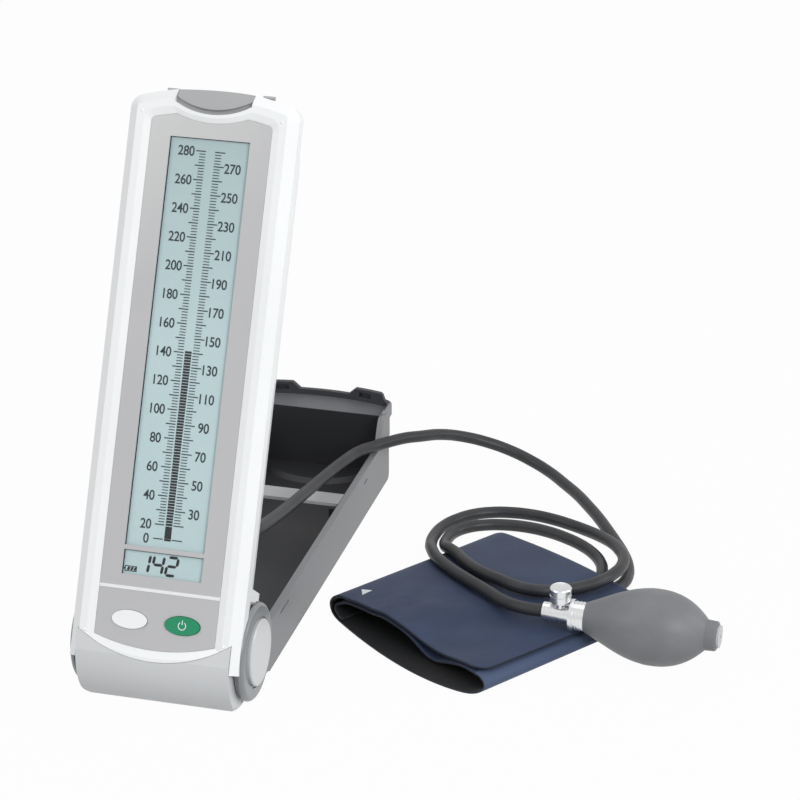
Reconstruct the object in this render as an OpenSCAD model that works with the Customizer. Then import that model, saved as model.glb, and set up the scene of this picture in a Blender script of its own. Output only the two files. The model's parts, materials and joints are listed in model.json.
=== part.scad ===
// Folding desk sphygmomanometer without mercury: a tall display that folds down as the lid of a
// tray, with a cuff, two hoses, an inflation bulb and a bleed valve. Millimetres, +Z up.
// The origin is the middle of the tray's flat underside, and the display stands open.
// In the display's own frame X runs across, -Y is the front and Z runs up from the hinge axis.

/* [Display case] */
// Width of the display case
display_w = 96; // [92:0.5:104]
// Hinge axis to the top of the display
display_len = 301.5; // [296:0.5:310]
// Hinge axis forward to the rim of the case
display_front = 33; // [32.5:0.1:36]
// Hinge axis forward to the flat back of the case
display_back = 2; // [1.5:0.1:3]
// Hinge axis forward to the line where the two shells part
parting_depth = 24.5; // [23.8:0.1:25]
// Radius of the arched end
arch_r = 150; // [130:1:180]
// Radius of the corners beside the arch
corner_r = 8; // [6:0.5:10]
// How far the sloped flank leans in
flank_in = 5.4; // [4:0.1:6]
// Depth of the sloped flank
flank_depth = 5; // [4:0.1:5.2]
// How far each side of the rear shell tapers in
rear_taper = 4.5; // [3:0.1:5]
// Wall of the moulded shells
shell_wall = 2.2; // [1.8:0.1:2.6]

/* [Front panel] */
// Outline of the case to the outline of the panel
panel_inset = 13.6; // [13:0.1:15]
// Thickness of the panel
panel_t = 1; // [0.8:0.1:1.2]
// Rim down to the face of the panel
panel_drop = 1.5; // [1:0.1:2]
// Width of the slope from the rim down to the panel
slope_w = 4; // [2:0.1:5]
// Radius of the panel's lower edge
panel_low_r = 109; // [100:1:130]
// Hinge axis down to the panel's lowest point
panel_low = 4; // [3:0.1:5]
// Radius of the dip under the latch
dip_r = 55; // [50:1:60]
// Top of the display down to the bottom of the dip
dip_drop = 18.9; // [18.4:0.1:20]
// Width of both windows
window_w = 45.4; // [42:0.1:48]
// Hinge axis up to the column window
window_base = 51.3; // [50:0.1:53]
// Length of the column window
window_len = 222.7; // [215:0.1:224]
// Hinge axis up to the digit window
digit_base = 35.5; // [34:0.1:36]
// Height of the digit window
digit_len = 13.3; // [12:0.1:14]
// Hinge axis up to the raised line below the windows
line_base = 27.3; // [26:0.1:29]
// Height of the raised line
line_w = 1.6; // [1:0.1:2]

/* [Buttons] */
// Length of an oval button
button_len = 20; // [18:0.1:22]
// Height of an oval button
button_h = 10; // [8:0.1:11]
// Middle of the display to the middle of a button
button_out = 15; // [13:0.1:16]
// Hinge axis up to the middle of the buttons
button_up = 11.3; // [10:0.1:13]
// Travel of a button
button_travel = 1; // [0.6:0.1:1.2]

/* [Latch] */
// Radius of the grip's lower edge
grip_r = 40; // [36:0.5:44]
// Top of the display down to the grip's lowest point
grip_drop = 11.7; // [11:0.1:12.5]
// Half width of the grip across the top edge
grip_half = 21.6; // [20:0.1:22]
// Travel of the latch
latch_travel = 2.5; // [2:0.1:2.6]
// Middle of the display to the middle of a hook
hook_out = 27.3; // [26.8:0.1:28]
// Width of a hook
hook_w = 6.5; // [5:0.1:7]
// How far a hook stands past the end of the case
hook_reach = 1.9; // [1.6:0.1:2]

/* [Hinge] */
// Table to the hinge axis
hinge_h = 28.35; // [28.2:0.05:29]
// Lean of the open display
lean = 25.5; // [20:0.5:28]
// Radius of the round barrel at the foot of the display
barrel_r = 27.4; // [26.9:0.1:27.5]
// Half width of the barrel
barrel_half = 43.5; // [42.5:0.1:43.7]
// Radius of the foot in front of the axis
foot_r = 34; // [33:0.1:35]
// Radius of the arc where the pale foot meets the front shell
foot_arc_r = 75; // [70:1:85]
// Hinge axis down to the lowest point of that arc
foot_arc_low = 10; // [9:0.5:12]
// Radius of the foot's lower corners
foot_corner = 4.5; // [3:0.5:7]
// Radius of a hinge pin
pin_r = 5; // [4:0.1:6]
// Running clearance of a pin in its bore
pin_gap = 0.05; // [0.02:0.01:0.1]
// Outer radius of a hub ring
ring_r = 27.5; // [26.5:0.1:28]
// Radius of a hub cap
cap_r = 18.6; // [16:0.1:20]
// How far a hub ring stands out of the tray's side
ring_t = 2.8; // [2:0.1:3.4]
// How far a hub cap stands out of the tray's side
cap_t = 4.75; // [4:0.05:5.5]

/* [Tray] */
// Outer width of the tray
tray_w = 93.8; // [93.4:0.1:94.2]
// Thickness of the tray's sides
side_t = 4; // [3.6:0.1:4.2]
// Thickness of the tray's floor
floor_t = 3; // [2.4:0.1:3.4]
// Height of the tray's rim
rim_h = 30; // [29:0.05:30.3]
// Hinge axis back to the front end of the sides
side_front = 29; // [28.5:0.5:33]
// Thickness of the end wall
end_t = 3; // [2.4:0.1:3.4]
// Height of the ledge on the end wall
ledge_h = 43.5; // [42.5:0.1:44]
// Height of the lip between the ears
lip_h = 47.5; // [46.5:0.1:48]
// Height of the two slotted ears
ear_h = 52; // [51:0.1:52.6]
// Thickness of the lip
lip_t = 3; // [2.8:0.1:3.4]
// Gap between the closed display and the lip
lip_gap = 0.4; // [0.3:0.05:0.8]
// Depth of the ledge behind the end wall
ledge_d = 19.5; // [18:0.5:21]
// End wall forward to the foot of the raised end
rise_ahead = 20; // [18:0.5:23]
// Length of the S-shaped rise
rise_len = 13; // [11:0.5:16]
// Hinge axis back to the cross-bar
bar_start = 182.5; // [178:0.5:190]
// Width of the cross-bar
bar_w = 13.5; // [11:0.5:15]
// Thickness of the cross-bar
bar_t = 2; // [1.6:0.1:2.6]

/* [Air side] */
// Outer diameter of the hoses
hose_d = 7.2; // [6.4:0.1:7.6]
// Greatest radius of the bulb
bulb_r = 21.7; // [20:0.1:23]
// Length of the bulb between its necks
bulb_len = 74; // [70:0.5:78]
// Wall of the bulb
bulb_wall = 2.4; // [2:0.1:3]
// Outer radius of the valve body
valve_r = 5.4; // [5:0.1:5.8]
// Length of the valve body
valve_len = 15; // [14:0.5:17]
// Radius of the valve knob
knob_r = 6.2; // [5:0.1:7]
// Height of the valve knob
knob_h = 10.6; // [8:0.1:12]
// Width of the folded cuff
cuff_w = 130; // [120:1:132]
// Length of the cuff along the arm
cuff_len = 132; // [125:1:133]
// Thickness of one layer of the cuff
cuff_ply = 2.6; // [2:0.1:3.2]
// Height of the folded cuff at its highest
cuff_h = 20; // [17:0.5:22]
// How far the open front of the cuff bows out between its corners
cuff_bow = 12; // [6:0.5:16]

/* [Hidden] */
$fn = 96;

end_in = display_len - ledge_d;
end_out = end_in + end_t;
rise_start = end_in - rise_ahead;
hinge_y = -(side_front + end_out) / 2;
half_w = display_w / 2;
arch_mid = display_len - arch_r;
gap = 0.3;
seat_gap = 0.1;

// Depths inside the display, counted forward from the hinge axis
panel_face = display_front - panel_drop;
panel_back = panel_face - panel_t;
front_wall = display_front - flank_depth;
window_sheet_t = 0.6;
cell_front = panel_back - window_sheet_t - 0.2;
cell_t = 1.9;
light_t = 1.5;
light_back = cell_front - cell_t - light_t - 0.2;
board_front = 21.6;
board_t = 1.6;
taper_end = 20.8;

ring_space = ring_r + 0.4;
cradle_r = barrel_r + 0.6;
bore_r = pin_r + pin_gap;
boss_r = 12;
boss_in = 38;
tray_half = tray_w / 2;
tray_inner = tray_half - side_t;
ear_in = barrel_half + 0.9;
button_top = 0.9;
plug_up = 56;
plug_out = 22;
nipple_r = 1.5;
socket_end = display_back + 6;
tube_end = board_front - board_t - 5.6;
bay_half = 17.5;
bay_low = 84;
bay_len = 55;
bay_depth = 17.5;
cell_r = 7.1;
cell_len = 48;
bulb_start = [212.4, -60.4, 22];
bulb_turn = -2.5;
spigot_r = 3.2;
knob_at = -14.8;
screw_out = 36;
screw_ups = [62, 150, 238];
post_ups = [34, 70];
post_out = 27;
step_depth = ledge_h + 4 - hinge_h + 0.35;
ledge_clear = ledge_h - hinge_h + gap;
grip_mid = display_len - grip_drop + grip_r;

// The free hoses follow points chosen by hand
gauge_hose_path = [[22, -116.6, 71.15], [22, -109.4, 67.7], [22.3, -99, 64.6], [23.2, -86.5, 62],
    [24.6, -73, 59.6], [25.6, -48, 54], [26.6, -22, 49], [28.4, 8, 44.6], [31, 38, 41],
    [34.6, 66, 38.2], [39.4, 88, 36.2], [45.2, 101, 34.2], [52, 109, 34.2], [59.5, 116.5, 34.2],
    [67.5, 127, 31.8], [77, 142, 27.4], [89, 154.5, 21.6], [103.5, 161.5, 16], [118, 163.6, 11],
    [132, 161, 6.8], [146, 152.5, 4.4], [158, 140, 3.8], [169, 127, 3.8], [178.5, 113.5, 3.8],
    [188, 99, 3.8], [197, 83.5, 3.8], [205, 69, 3.8], [212, 55.5, 3.8], [217.4, 41.5, 3.8],
    [220, 28, 4.2], [219.4, 16.6, 4.9], [215, 6.5, 5]];
lead_rings = 14;
bulb_hose_path = [[187.5, -59.3, 22], [176, -58.4, 21.8], [163.7, -52.5, 21], [150.6, -42.1, 20.9],
    [136.2, -30.1, 20.2], [122.3, -15.7, 18.3], [112.3, -3.1, 16.7], [104.9, 12.2, 13.4],
    [99.4, 30.7, 8.6], [97.7, 46.3, 6.2], [99, 61, 4.6], [104.2, 73.8, 3.8], [112.5, 83.2, 3.8],
    [122.6, 89, 3.8], [134.5, 92, 3.8], [148, 92.2, 3.8], [161.5, 89.6, 3.8], [173.6, 85, 3.9],
    [184.7, 78.2, 4.8], [195.8, 67.7, 7.2], [205.6, 54.5, 10.4], [212.5, 41.5, 13],
    [217, 29.1, 14.8], [218.1, 17.5, 15.8], [216.3, 4.8, 17.2], [211.2, -7.8, 18],
    [202.7, -17.5, 17.9], [192.9, -25.4, 18.7], [180.1, -31.8, 19.4], [167.4, -31.7, 20.1],
    [154.3, -25.8, 20.2], [141.9, -17.9, 19.5], [130, -5.7, 18], [120.6, 7.4, 16.4],
    [114.1, 15.2, 14.8], [109.3, 26.4, 10.1], [105.6, 45.6, 4.6], [107.4, 57.2, 3.8],
    [113.6, 65.6, 3.8], [122.4, 71.2, 3.8], [134, 74.6, 3.8], [148, 75.2, 3.8], [162, 72.4, 3.8],
    [174.6, 67, 3.8], [186, 59.6, 3.8], [195, 50.6, 3.8], [201, 40.6, 4], [204.2, 30, 5],
    [205.4, 21, 5.5], [204.6, 13.2, 5.5]];

function arch_reach(x) = arch_mid + sqrt(pow(arch_r, 2) - pow(x, 2));
function corner_up(r) = arch_mid + sqrt(pow(arch_r - r, 2) - pow(half_w - r, 2));

// Places the display's own frame on the hinge axis
module display_frame() {
    translate([0, hinge_y, hinge_h]) rotate([-lean, 0, 0]) children();
}

// Extrudes a shape drawn across and up, between two depths in front of the hinge axis
module facing(depth0, depth1) {
    translate([0, -depth0, 0]) rotate([90, 0, 0]) linear_extrude(depth1 - depth0) children();
}

// Extrudes a shape drawn forward and up, between two places across
module sideways(x0, x1) {
    translate([x0, 0, 0]) rotate([90, 0, 90]) linear_extrude(x1 - x0) mirror([1, 0]) children();
}

// Extrudes a shape drawn back and up in the tray's frame, counted from the hinge axis
module tray_side(x0, x1) {
    translate([x0, hinge_y, 0]) rotate([90, 0, 90]) linear_extrude(x1 - x0) children();
}

// Round bar that points forward in the display's frame
module forward_bar(x, up, depth0, depth1, r0, r1) {
    translate([x, -depth0, up]) rotate([90, 0, 0]) cylinder(h = depth1 - depth0, r1 = r0, r2 = r1);
}

// Round bar along the hinge axis
module axle(x0, x1, r) {
    translate([x0, 0, 0]) rotate([0, 90, 0]) cylinder(h = x1 - x0, r = r);
}

// Block in the display's frame
module block(x0, x1, depth0, depth1, up0, up1) {
    translate([x0, -depth1, up0]) cube([x1 - x0, depth1 - depth0, up1 - up0]);
}

module mirror_pair() {
    children();
    mirror([1, 0, 0]) children();
}

// Slab of the arched outline: in0 and in1 are how far it lies inside the case at the two depths
module arched(depth0, depth1, in0, in1, r, base) {
    deep = depth1 - depth0;
    top = corner_up(r);
    translate([0, 0, base]) linear_extrude(top - base)
        polygon([[in0 - half_w, -depth0], [half_w - in0, -depth0],
            [half_w - in1, -depth1], [in1 - half_w, -depth1]]);
    mirror_pair() forward_bar(half_w - r, top, depth0, depth1, r - in0, r - in1);
    intersection() {
        forward_bar(0, arch_mid, depth0, depth1, arch_r - in0, arch_r - in1);
        facing(depth0, depth1) polygon([[0, arch_mid], [(half_w - r) * 2, arch_mid + (top - arch_mid) * 2],
            [-(half_w - r) * 2, arch_mid + (top - arch_mid) * 2]]);
    }
}

// The panel's outline between two depths, with its curved foot and the dip under the latch
module panel_slab(depth0, depth1, in0, in1) {
    inner_r = panel_inset + 3;
    low_mid = panel_low_r - panel_low;
    dip_mid = display_len - dip_drop + dip_r;
    difference() {
        arched(depth0, depth1, in0, in1, inner_r, -panel_low - slope_w - 1);
        difference() {
            block(-half_w, half_w, depth0 - 1, depth1 + 1, -60, low_mid);
            forward_bar(0, low_mid, depth0, depth1,
                panel_low_r + panel_inset - in0, panel_low_r + panel_inset - in1);
        }
        forward_bar(0, dip_mid, depth0, depth1,
            dip_r - (panel_inset - in0) * 0.65, dip_r - (panel_inset - in1) * 0.65);
    }
}

// Ellipse for the oval buttons and their holes
module oval(len, high) {
    polygon([for (i = [0 : 47]) [len / 2 * cos(7.5 * i), high / 2 * sin(7.5 * i)]]);
}

// Rounded bar shape with true arcs
module rounded_rect(x, y, r) {
    square([x - 2 * r, y], center = true);
    square([x, y - 2 * r], center = true);
    for (sx = [-1, 1], sy = [-1, 1]) translate([sx * (x / 2 - r), sy * (y / 2 - r)]) circle(r = r);
}

module bezel_foot_arc() {
    difference() {
        translate([-barrel_half - gap, -60]) square([2 * (barrel_half + gap), 60 + 6]);
        translate([0, foot_arc_r - foot_arc_low]) circle(r = foot_arc_r);
    }
}

module screw_sites() {
    for (up = screw_ups) mirror_pair() translate([screw_out, 0, up]) children();
}

// Front shell: sloped flank, rim, ledge for the panel, and the notch for the latch grip
module front_bezel() {
    base = -12;
    color("#E8EAEC") display_frame() {
        difference() {
            union() {
                arched(parting_depth, front_wall, 0, 0, corner_r, base);
                arched(front_wall, display_front, 0, flank_in, corner_r, base);
            }
            arched(parting_depth - 1, front_wall, shell_wall, shell_wall, corner_r, base - 1);
            axle(-half_w - 1, half_w + 1, ring_space);
            facing(parting_depth - 1, display_front + 1) bezel_foot_arc();
            panel_slab(panel_face, display_front + 0.6, panel_inset - 0.15, panel_inset - slope_w * 1.4);
            panel_slab(panel_back, panel_face + 0.5, panel_inset, panel_inset);
            panel_slab(front_wall - 1, panel_back + 0.5, panel_inset + 2.4, panel_inset + 2.4);
            intersection() {
                forward_bar(0, grip_mid, panel_back - 1, display_front + 1,
                    grip_r + latch_travel + gap, grip_r + latch_travel + gap);
                block(-grip_half - gap, grip_half + gap, panel_back - 2, display_front + 2,
                    display_len - 30, display_len + 1);
            }
            block(-grip_half - gap, grip_half + gap, parting_depth - 1, panel_back,
                display_len - 9, display_len + 1);
            block(-24.6, 24.6, front_wall - 1, panel_back - 0.8, display_len - 21.2, display_len - 4.4);
        }
        difference() {
            screw_sites() forward_bar(0, 0, board_front, front_wall + 0.1, 3.4, 3.4);
            screw_sites() forward_bar(0, 0, board_front - 1, front_wall - 1, 1.5, 1.5);
        }
    }
}

// Printed plate with two windows, two oval holes and a raised line
module face_panel() {
    color("#BEBEC0") display_frame() {
        difference() {
            panel_slab(panel_back, panel_face, panel_inset + 0.15, panel_inset + 0.15);
            facing(panel_back - 1, panel_face + 1) {
                translate([-window_w / 2, window_base]) square([window_w, window_len]);
                translate([-window_w / 2, digit_base]) square([window_w, digit_len]);
                for (s = [-1, 1]) translate([s * button_out, button_up])
                    oval(button_len + 0.6, button_h + 0.6);
            }
        }
        facing(panel_face, panel_face + 0.3) {
            translate([-half_w + panel_inset + 0.4, line_base])
                square([display_w - 2 * panel_inset - 0.8, line_w]);
        }
    }
}

// Clear sheet behind both windows
module lcd_window() {
    color("#DDE7E8") display_frame() {
        block(-window_w / 2 - 2.5, window_w / 2 + 2.5, panel_back - window_sheet_t, panel_back,
            digit_base - 2.5, window_base + window_len + 2.5);
    }
}

// Liquid-crystal cell, two glass plates with the wider one behind
module lcd_panel() {
    low = digit_base - 2;
    high = window_base + window_len + 2;
    color("#B4CACD") display_frame() {
        block(-window_w / 2 - 1.5, window_w / 2 + 1.5, cell_front - 0.95, cell_front, low, high);
        block(-window_w / 2 - 2, window_w / 2 + 2, cell_front - cell_t, cell_front - 0.95, low - 2.5, high);
    }
}

// Moulded frame round the cell and the light guide
module lcd_holder() {
    low = digit_base - 6.6;
    high = window_base + window_len + 4.1;
    side = window_w / 2 + 2.1;
    color("#D8DADB") display_frame() {
        difference() {
            block(-side - 2, side + 2, light_back - 1.4, cell_front, low, high);
            block(-side, side, light_back - 0.1, cell_front + 1, low + 2, high - 2);
            for (step = [0 : 4]) {
                block(-side + 8, side - 8, light_back - 3, light_back + 1,
                    low + 14 + step * 49, low + 54 + step * 49);
            }
        }
        for (up = [low + 6, 100, 180, high - 30]) mirror_pair()
            block(side + 1.9, side + 9.6, light_back - 1.4, front_wall - seat_gap, up, up + 8);
    }
}

// Light guide behind the cell
module backlight() {
    color("#F2F4F0") display_frame() {
        block(-window_w / 2 - 1.8, window_w / 2 + 1.8, light_back, light_back + light_t,
            digit_base - 4.3, window_base + window_len + 1.9);
    }
}

// Circuit board with its main chips
module main_board() {
    color("#2E6B4A") display_frame() {
        difference() {
            block(-31, 31, board_front - board_t, board_front, 1, 76);
            for (s = [-1, 1]) forward_bar(s * 27, 70, board_front - board_t - 1, board_front + 1, 1.6, 1.6);
        }
        block(-9, 9, board_front - board_t - 1.6, board_front - board_t, 24, 42);
        block(12, 22, board_front - board_t - 1.4, board_front - board_t, 26, 34);
        block(-28, -18, board_front - board_t - 2.4, board_front - board_t, 10, 22);
    }
}

// Two key switches on the board
module key_switches() {
    color("#3A3B3E") display_frame() {
        for (s = [-1, 1]) {
            block(s * button_out - 3, s * button_out + 3, board_front, board_front + 2.4,
                button_up - 3, button_up + 3);
            forward_bar(s * button_out, button_up, board_front + 2.4, board_front + 3.6, 1.7, 1.7);
        }
    }
}

// Sensor block with its nipple
module pressure_sensor() {
    back = board_front - board_t;
    color("#C9C4B4") display_frame() difference() {
        union() {
            block(plug_out - 6, plug_out + 6, back - 5.4, back, plug_up - 6, plug_up + 6);
            forward_bar(plug_out, plug_up, tube_end - 2.8, back - 5, nipple_r, nipple_r);
        }
        forward_bar(plug_out, plug_up, tube_end - 3, back - 4, 0.7, 0.7);
    }
}

// Short inner tube from the socket to the sensor
module sensor_tube() {
    color("#9FB4B8") display_frame() difference() {
        forward_bar(plug_out, plug_up, socket_end + 0.1, tube_end, 2.6, 2.6);
        forward_bar(plug_out, plug_up, socket_end - 1, tube_end + 1, nipple_r + pin_gap, nipple_r + pin_gap);
    }
}

// Bulkhead fitting with a flange, a nut and an inner nipple; the hose plug goes into it
module air_socket() {
    color("#3C3D40") display_frame() difference() {
        union() {
            forward_bar(plug_out, plug_up, display_back - 1.6, display_back, 7.4, 7.4);
            forward_bar(plug_out, plug_up, display_back, socket_end, 5.2, 5.2);
            forward_bar(plug_out, plug_up, display_back + shell_wall, display_back + shell_wall + 2.2, 7, 7);
            forward_bar(plug_out, plug_up, socket_end, socket_end + 2.6, nipple_r, nipple_r);
        }
        forward_bar(plug_out, plug_up, display_back - 2, display_back + 5, 3, 3);
        forward_bar(plug_out, plug_up, display_back + 4, socket_end + 3, 0.7, 0.7);
    }
}

// Outer form of the rear shell, shrunk by a wall for its cavity
module rear_form(wall) {
    arched(display_back + wall, taper_end, rear_taper * (1 - wall / (taper_end - display_back)) + wall, wall,
        corner_r, wall == 0 ? 0 : -1);
    arched(taper_end, parting_depth + (wall == 0 ? 0 : 1), wall, wall, corner_r, wall == 0 ? 0 : -1);
    if (wall == 0) sideways(-half_w + 0.4, half_w - 0.4)
        polygon([[display_back + 0.5, 27.8], [taper_end, 27.8], [taper_end, 36],
            [17, 34.8], [display_back + 0.5, 31.9]]);
    intersection() {
        axle(wall - barrel_half, barrel_half - wall, barrel_r - wall);
        block(-half_w, half_w, -barrel_r - 1, display_back + 4, wall == 0 ? 0 : -1, barrel_r + 1);
    }
}

// The S-shaped rise that the tray's rim and the display's back share
function rise(t) = t * t * (3 - 2 * t);

// Region behind the stepped end's sides, drawn forward and up
module step_behind(wall) {
    steps = 8;
    start = rise_start - 1.5 - wall;
    polygon(concat([[-9, start]],
        [for (i = [0 : steps])
            [display_back + wall + (step_depth - display_back) * rise(i / steps),
                start + rise_len * i / steps]],
        [[step_depth + wall, display_len + 9], [-9, display_len + 9]]));
}

// Tub of the rear shell with the end that nests in the tray's raised end
module rear_tub(wall) {
    difference() {
        rear_form(wall);
        mirror_pair() sideways(tray_inner - 0.4 - wall, half_w + 2) step_behind(wall);
        block(-half_w, half_w, -9, ledge_clear + wall, end_in - 0.6 - wall, display_len + 9);
        facing(-9, step_depth + wall) difference() {
            translate([-half_w - 2, rise_start + rise_len]) square([display_w + 4, 90]);
            lip_outline(-gap - 0.1 - wall);
        }
    }
}

// Rear shell: tapered tub, round barrel, battery bay and stepped end
module rear_shell() {
    bar_low = display_len - 17;
    color("#E2E4E6") display_frame() difference() {
        union() {
            difference() {
                rear_tub(0);
                rear_tub(shell_wall);
                mirror_pair() axle(barrel_half, half_w + 1, ring_space);
            }
            block(-bay_half - 1.6, bay_half + 1.6, display_back, display_back + bay_depth + 1.4,
                bay_low - 1.6, bay_low + bay_len + 1.6);
            mirror_pair() axle(boss_in, barrel_half, boss_r);
            screw_sites() forward_bar(0, 0, display_back + 0.3, board_front - 0.1, 4.4, 4.4);
            for (up = post_ups) mirror_pair()
                forward_bar(post_out, up, display_back + 1, board_front - board_t - seat_gap, 2.4, 2.4);
            mirror_pair() {
                block(11, 19, ledge_clear, ledge_clear + 7, bar_low - 11.3, bar_low - 9.2);
                block(11, 19, ledge_clear, ledge_clear + shell_wall, bar_low - 11.3, end_in);
            }
        }
        mirror_pair() axle(boss_in - 1, barrel_half + 1, bore_r);
        screw_sites() {
            forward_bar(0, 0, display_back - 1, 12, 3.1, 3.1);
            forward_bar(0, 0, 11, 22, 1.6, 1.6);
        }
        block(-bay_half, bay_half, display_back - 1, display_back + bay_depth, bay_low, bay_low + bay_len);
        block(-bay_half - 3, bay_half + 3, display_back - 1, display_back + 1.5,
            bay_low - 3, bay_low + bay_len + 3);
        block(-grip_half - gap, grip_half + gap, taper_end - 0.3, parting_depth + 1,
            display_len - 9, display_len + 1);
        mirror_pair() block(hook_out - hook_w / 2 - gap, hook_out + hook_w / 2 + gap,
            taper_end - 2.1, taper_end + 0.7, display_len - 9, display_len + 1);
        forward_bar(plug_out, plug_up, display_back - 1, display_back + shell_wall + 1, 5.25, 5.25);
    }
}

// Foot outline, forward and up: barrel behind, larger radius in front, flat sole on the table
module foot_profile(wall) {
    circle(r = barrel_r - wall);
    intersection() {
        circle(r = foot_r - wall);
        rotate(-lean) translate([wall == 0 ? 0 : -6, wall - barrel_r]) square([60, 90]);
        translate([-60, -60]) square([60 + display_front - wall, 120]);
    }
}

module foot_corners() {
    low = -foot_r + 0.4;
    translate([-barrel_half, low + foot_corner]) square([2 * barrel_half, 60]);
    translate([-barrel_half + foot_corner, low]) square([2 * (barrel_half - foot_corner), 20]);
    for (s = [-1, 1]) translate([s * (barrel_half - foot_corner), low + foot_corner]) circle(r = foot_corner);
}

// Curved pale foot that closes the case round the hinge barrel
module foot_cover() {
    color("#BFC0C2") display_frame() difference() {
        intersection() {
            sideways(-barrel_half, barrel_half) foot_profile(0);
            facing(-60, 60) foot_corners();
            difference() {
                union() {
                    block(-half_w, half_w, -60, 60, -60, -seat_gap);
                    block(-half_w, half_w, parting_depth + seat_gap, 60, -60, 12);
                }
                forward_bar(0, foot_arc_r - foot_arc_low, parting_depth - seat_gap, 61,
                    foot_arc_r + 2 * seat_gap, foot_arc_r + 2 * seat_gap);
            }
        }
        sideways(-barrel_half + shell_wall, barrel_half - shell_wall) foot_profile(shell_wall);
        mirror_pair() axle(boss_in - 2, barrel_half + 1, boss_r + 0.2);
    }
}

// Two rubber pads let into the flat sole
module foot_pads() {
    color("#4A4B4E") translate([0, hinge_y, 0]) {
        for (s = [-1, 1]) translate([s * 26, -9, hinge_h - barrel_r - 0.65])
            linear_extrude(0.65) rounded_rect(22, 9, 3);
    }
}

module oval_button(s, tint) {
    color(tint) display_frame() translate([s * button_out, 0, button_up]) {
        facing(panel_back - seat_gap, panel_face + button_top) oval(button_len, button_h);
        facing(panel_back - 1.3, panel_back - seat_gap) oval(button_len + 3, button_h + 2.4);
        forward_bar(0, 0, board_front + 3.7 + button_travel, panel_back - 1.3, 1.9, 1.9);
    }
}

module mark_button() {
    oval_button(-1, "#F4F5F6");
}

module power_button() {
    oval_button(1, "#0A8F5F");
}

// Sliding grip with a lens-shaped face and a skirt behind the rim
module latch_button() {
    top = display_len;
    color("#A9AAAC") display_frame() {
        intersection() {
            arched(taper_end, display_front + 0.4, 0, 0, corner_r, 200);
            sideways(-30, 30) polygon([[taper_end, top - 7.5], [panel_back - 2, top - 7.5],
                [panel_back - 2, top - 20], [display_front, top - 20], [display_front + 0.3, top - grip_drop],
                [display_front - 1.2, top - 7], [27, top - 1.6], [taper_end, top]]);
            union() {
                block(-grip_half, grip_half, taper_end, panel_back - 1, top - 9, top + 1);
                intersection() {
                    forward_bar(0, grip_mid, panel_back - 1, display_front + 2, grip_r, grip_r);
                    block(-grip_half, grip_half, panel_back - 2, display_front + 3, top - 20, top + 1);
                }
            }
        }
        intersection() {
            block(-24, 24, front_wall - 0.7, panel_back - 1, top - 18.2, top - 4.8);
            forward_bar(0, grip_mid, 20, 40, grip_r + 4.3, grip_r + 4.3);
        }
        block(-6, 6, taper_end + 0.4, front_wall - 0.7, top - 16, top - 11.5);
    }
}

// Sliding bar with its two hooks
module latch_bar() {
    low = display_len - 17;
    color("#8C8E91") display_frame() {
        block(-31, 31, taper_end - 1.8, taper_end + 0.4, low, low + 6);
        for (s = [-1, 1]) {
            tip = arch_reach(hook_out) + hook_reach;
            near = s * hook_out - hook_w / 2;
            block(near, near + hook_w, taper_end - 1.8, taper_end - 0.2, low + 6, tip);
            block(near, near + hook_w, taper_end - 0.2, taper_end + 0.4, tip - 1.4, tip);
        }
    }
}

// Two coil springs that push the latch outwards
module latch_springs() {
    turns = 6;
    high = 9;
    wire = 0.5;
    coil_r = 2.2;
    rings = turns * 8;
    low = display_len - 17 - seat_gap - high;
    function ring(i) = let(a = 360 * i / 8) [for (k = [0 : 5])
        [(coil_r + wire * cos(60 * k)) * cos(a), (coil_r + wire * cos(60 * k)) * sin(a),
            wire + (high - 2 * wire) * i / rings + wire * sin(60 * k)]];
    points = [for (i = [0 : rings]) each ring(i)];
    sides = [for (i = [0 : rings - 1], k = [0 : 5]) let(a = i * 6 + k, b = i * 6 + (k + 1) % 6) each
        [[a, b, a + 6], [b, b + 6, a + 6]]];
    ends = [for (k = [1 : 4]) each [[0, k + 1, k], [rings * 6, rings * 6 + k, rings * 6 + k + 1]]];
    color("#C8CACC") display_frame() for (s = [-1, 1])
        translate([s * 15, -taper_end + 0.25, low]) polyhedron(points = points, faces = concat(sides, ends));
}

// Lift-off door over the battery bay
module battery_cover() {
    color("#DADCDE") display_frame() {
        block(-bay_half - 2.8, bay_half + 2.8, display_back, display_back + 1.4,
            bay_low - 2.8, bay_low + bay_len + 2.8);
        for (s = [-1, 1])
            block(s * 8 - 3, s * 8 + 3, display_back + 1.4, display_back + 3, bay_low + 0.4, bay_low + 1.8);
        block(-4, 4, display_back + 1.4, display_back + 4, bay_low + bay_len - 1.8, bay_low + bay_len - 0.4);
        for (step = [0 : 2]) block(-9, 9, display_back - 0.2, display_back, bay_low + bay_len - 8 + 3 * step,
            bay_low + bay_len - 7 + 3 * step);
    }
}

// Two penlight cells, head to tail
module batteries() {
    low = bay_low + 3;
    color("#5F6468") display_frame() for (s = [-1, 1])
        translate([s * (cell_r + 0.8), -display_back - 9.4, low]) {
            cylinder(h = cell_len, r = cell_r);
            translate([0, 0, s > 0 ? cell_len : -1.2]) cylinder(h = 1.2, r = 2.6);
        }
}

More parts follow.
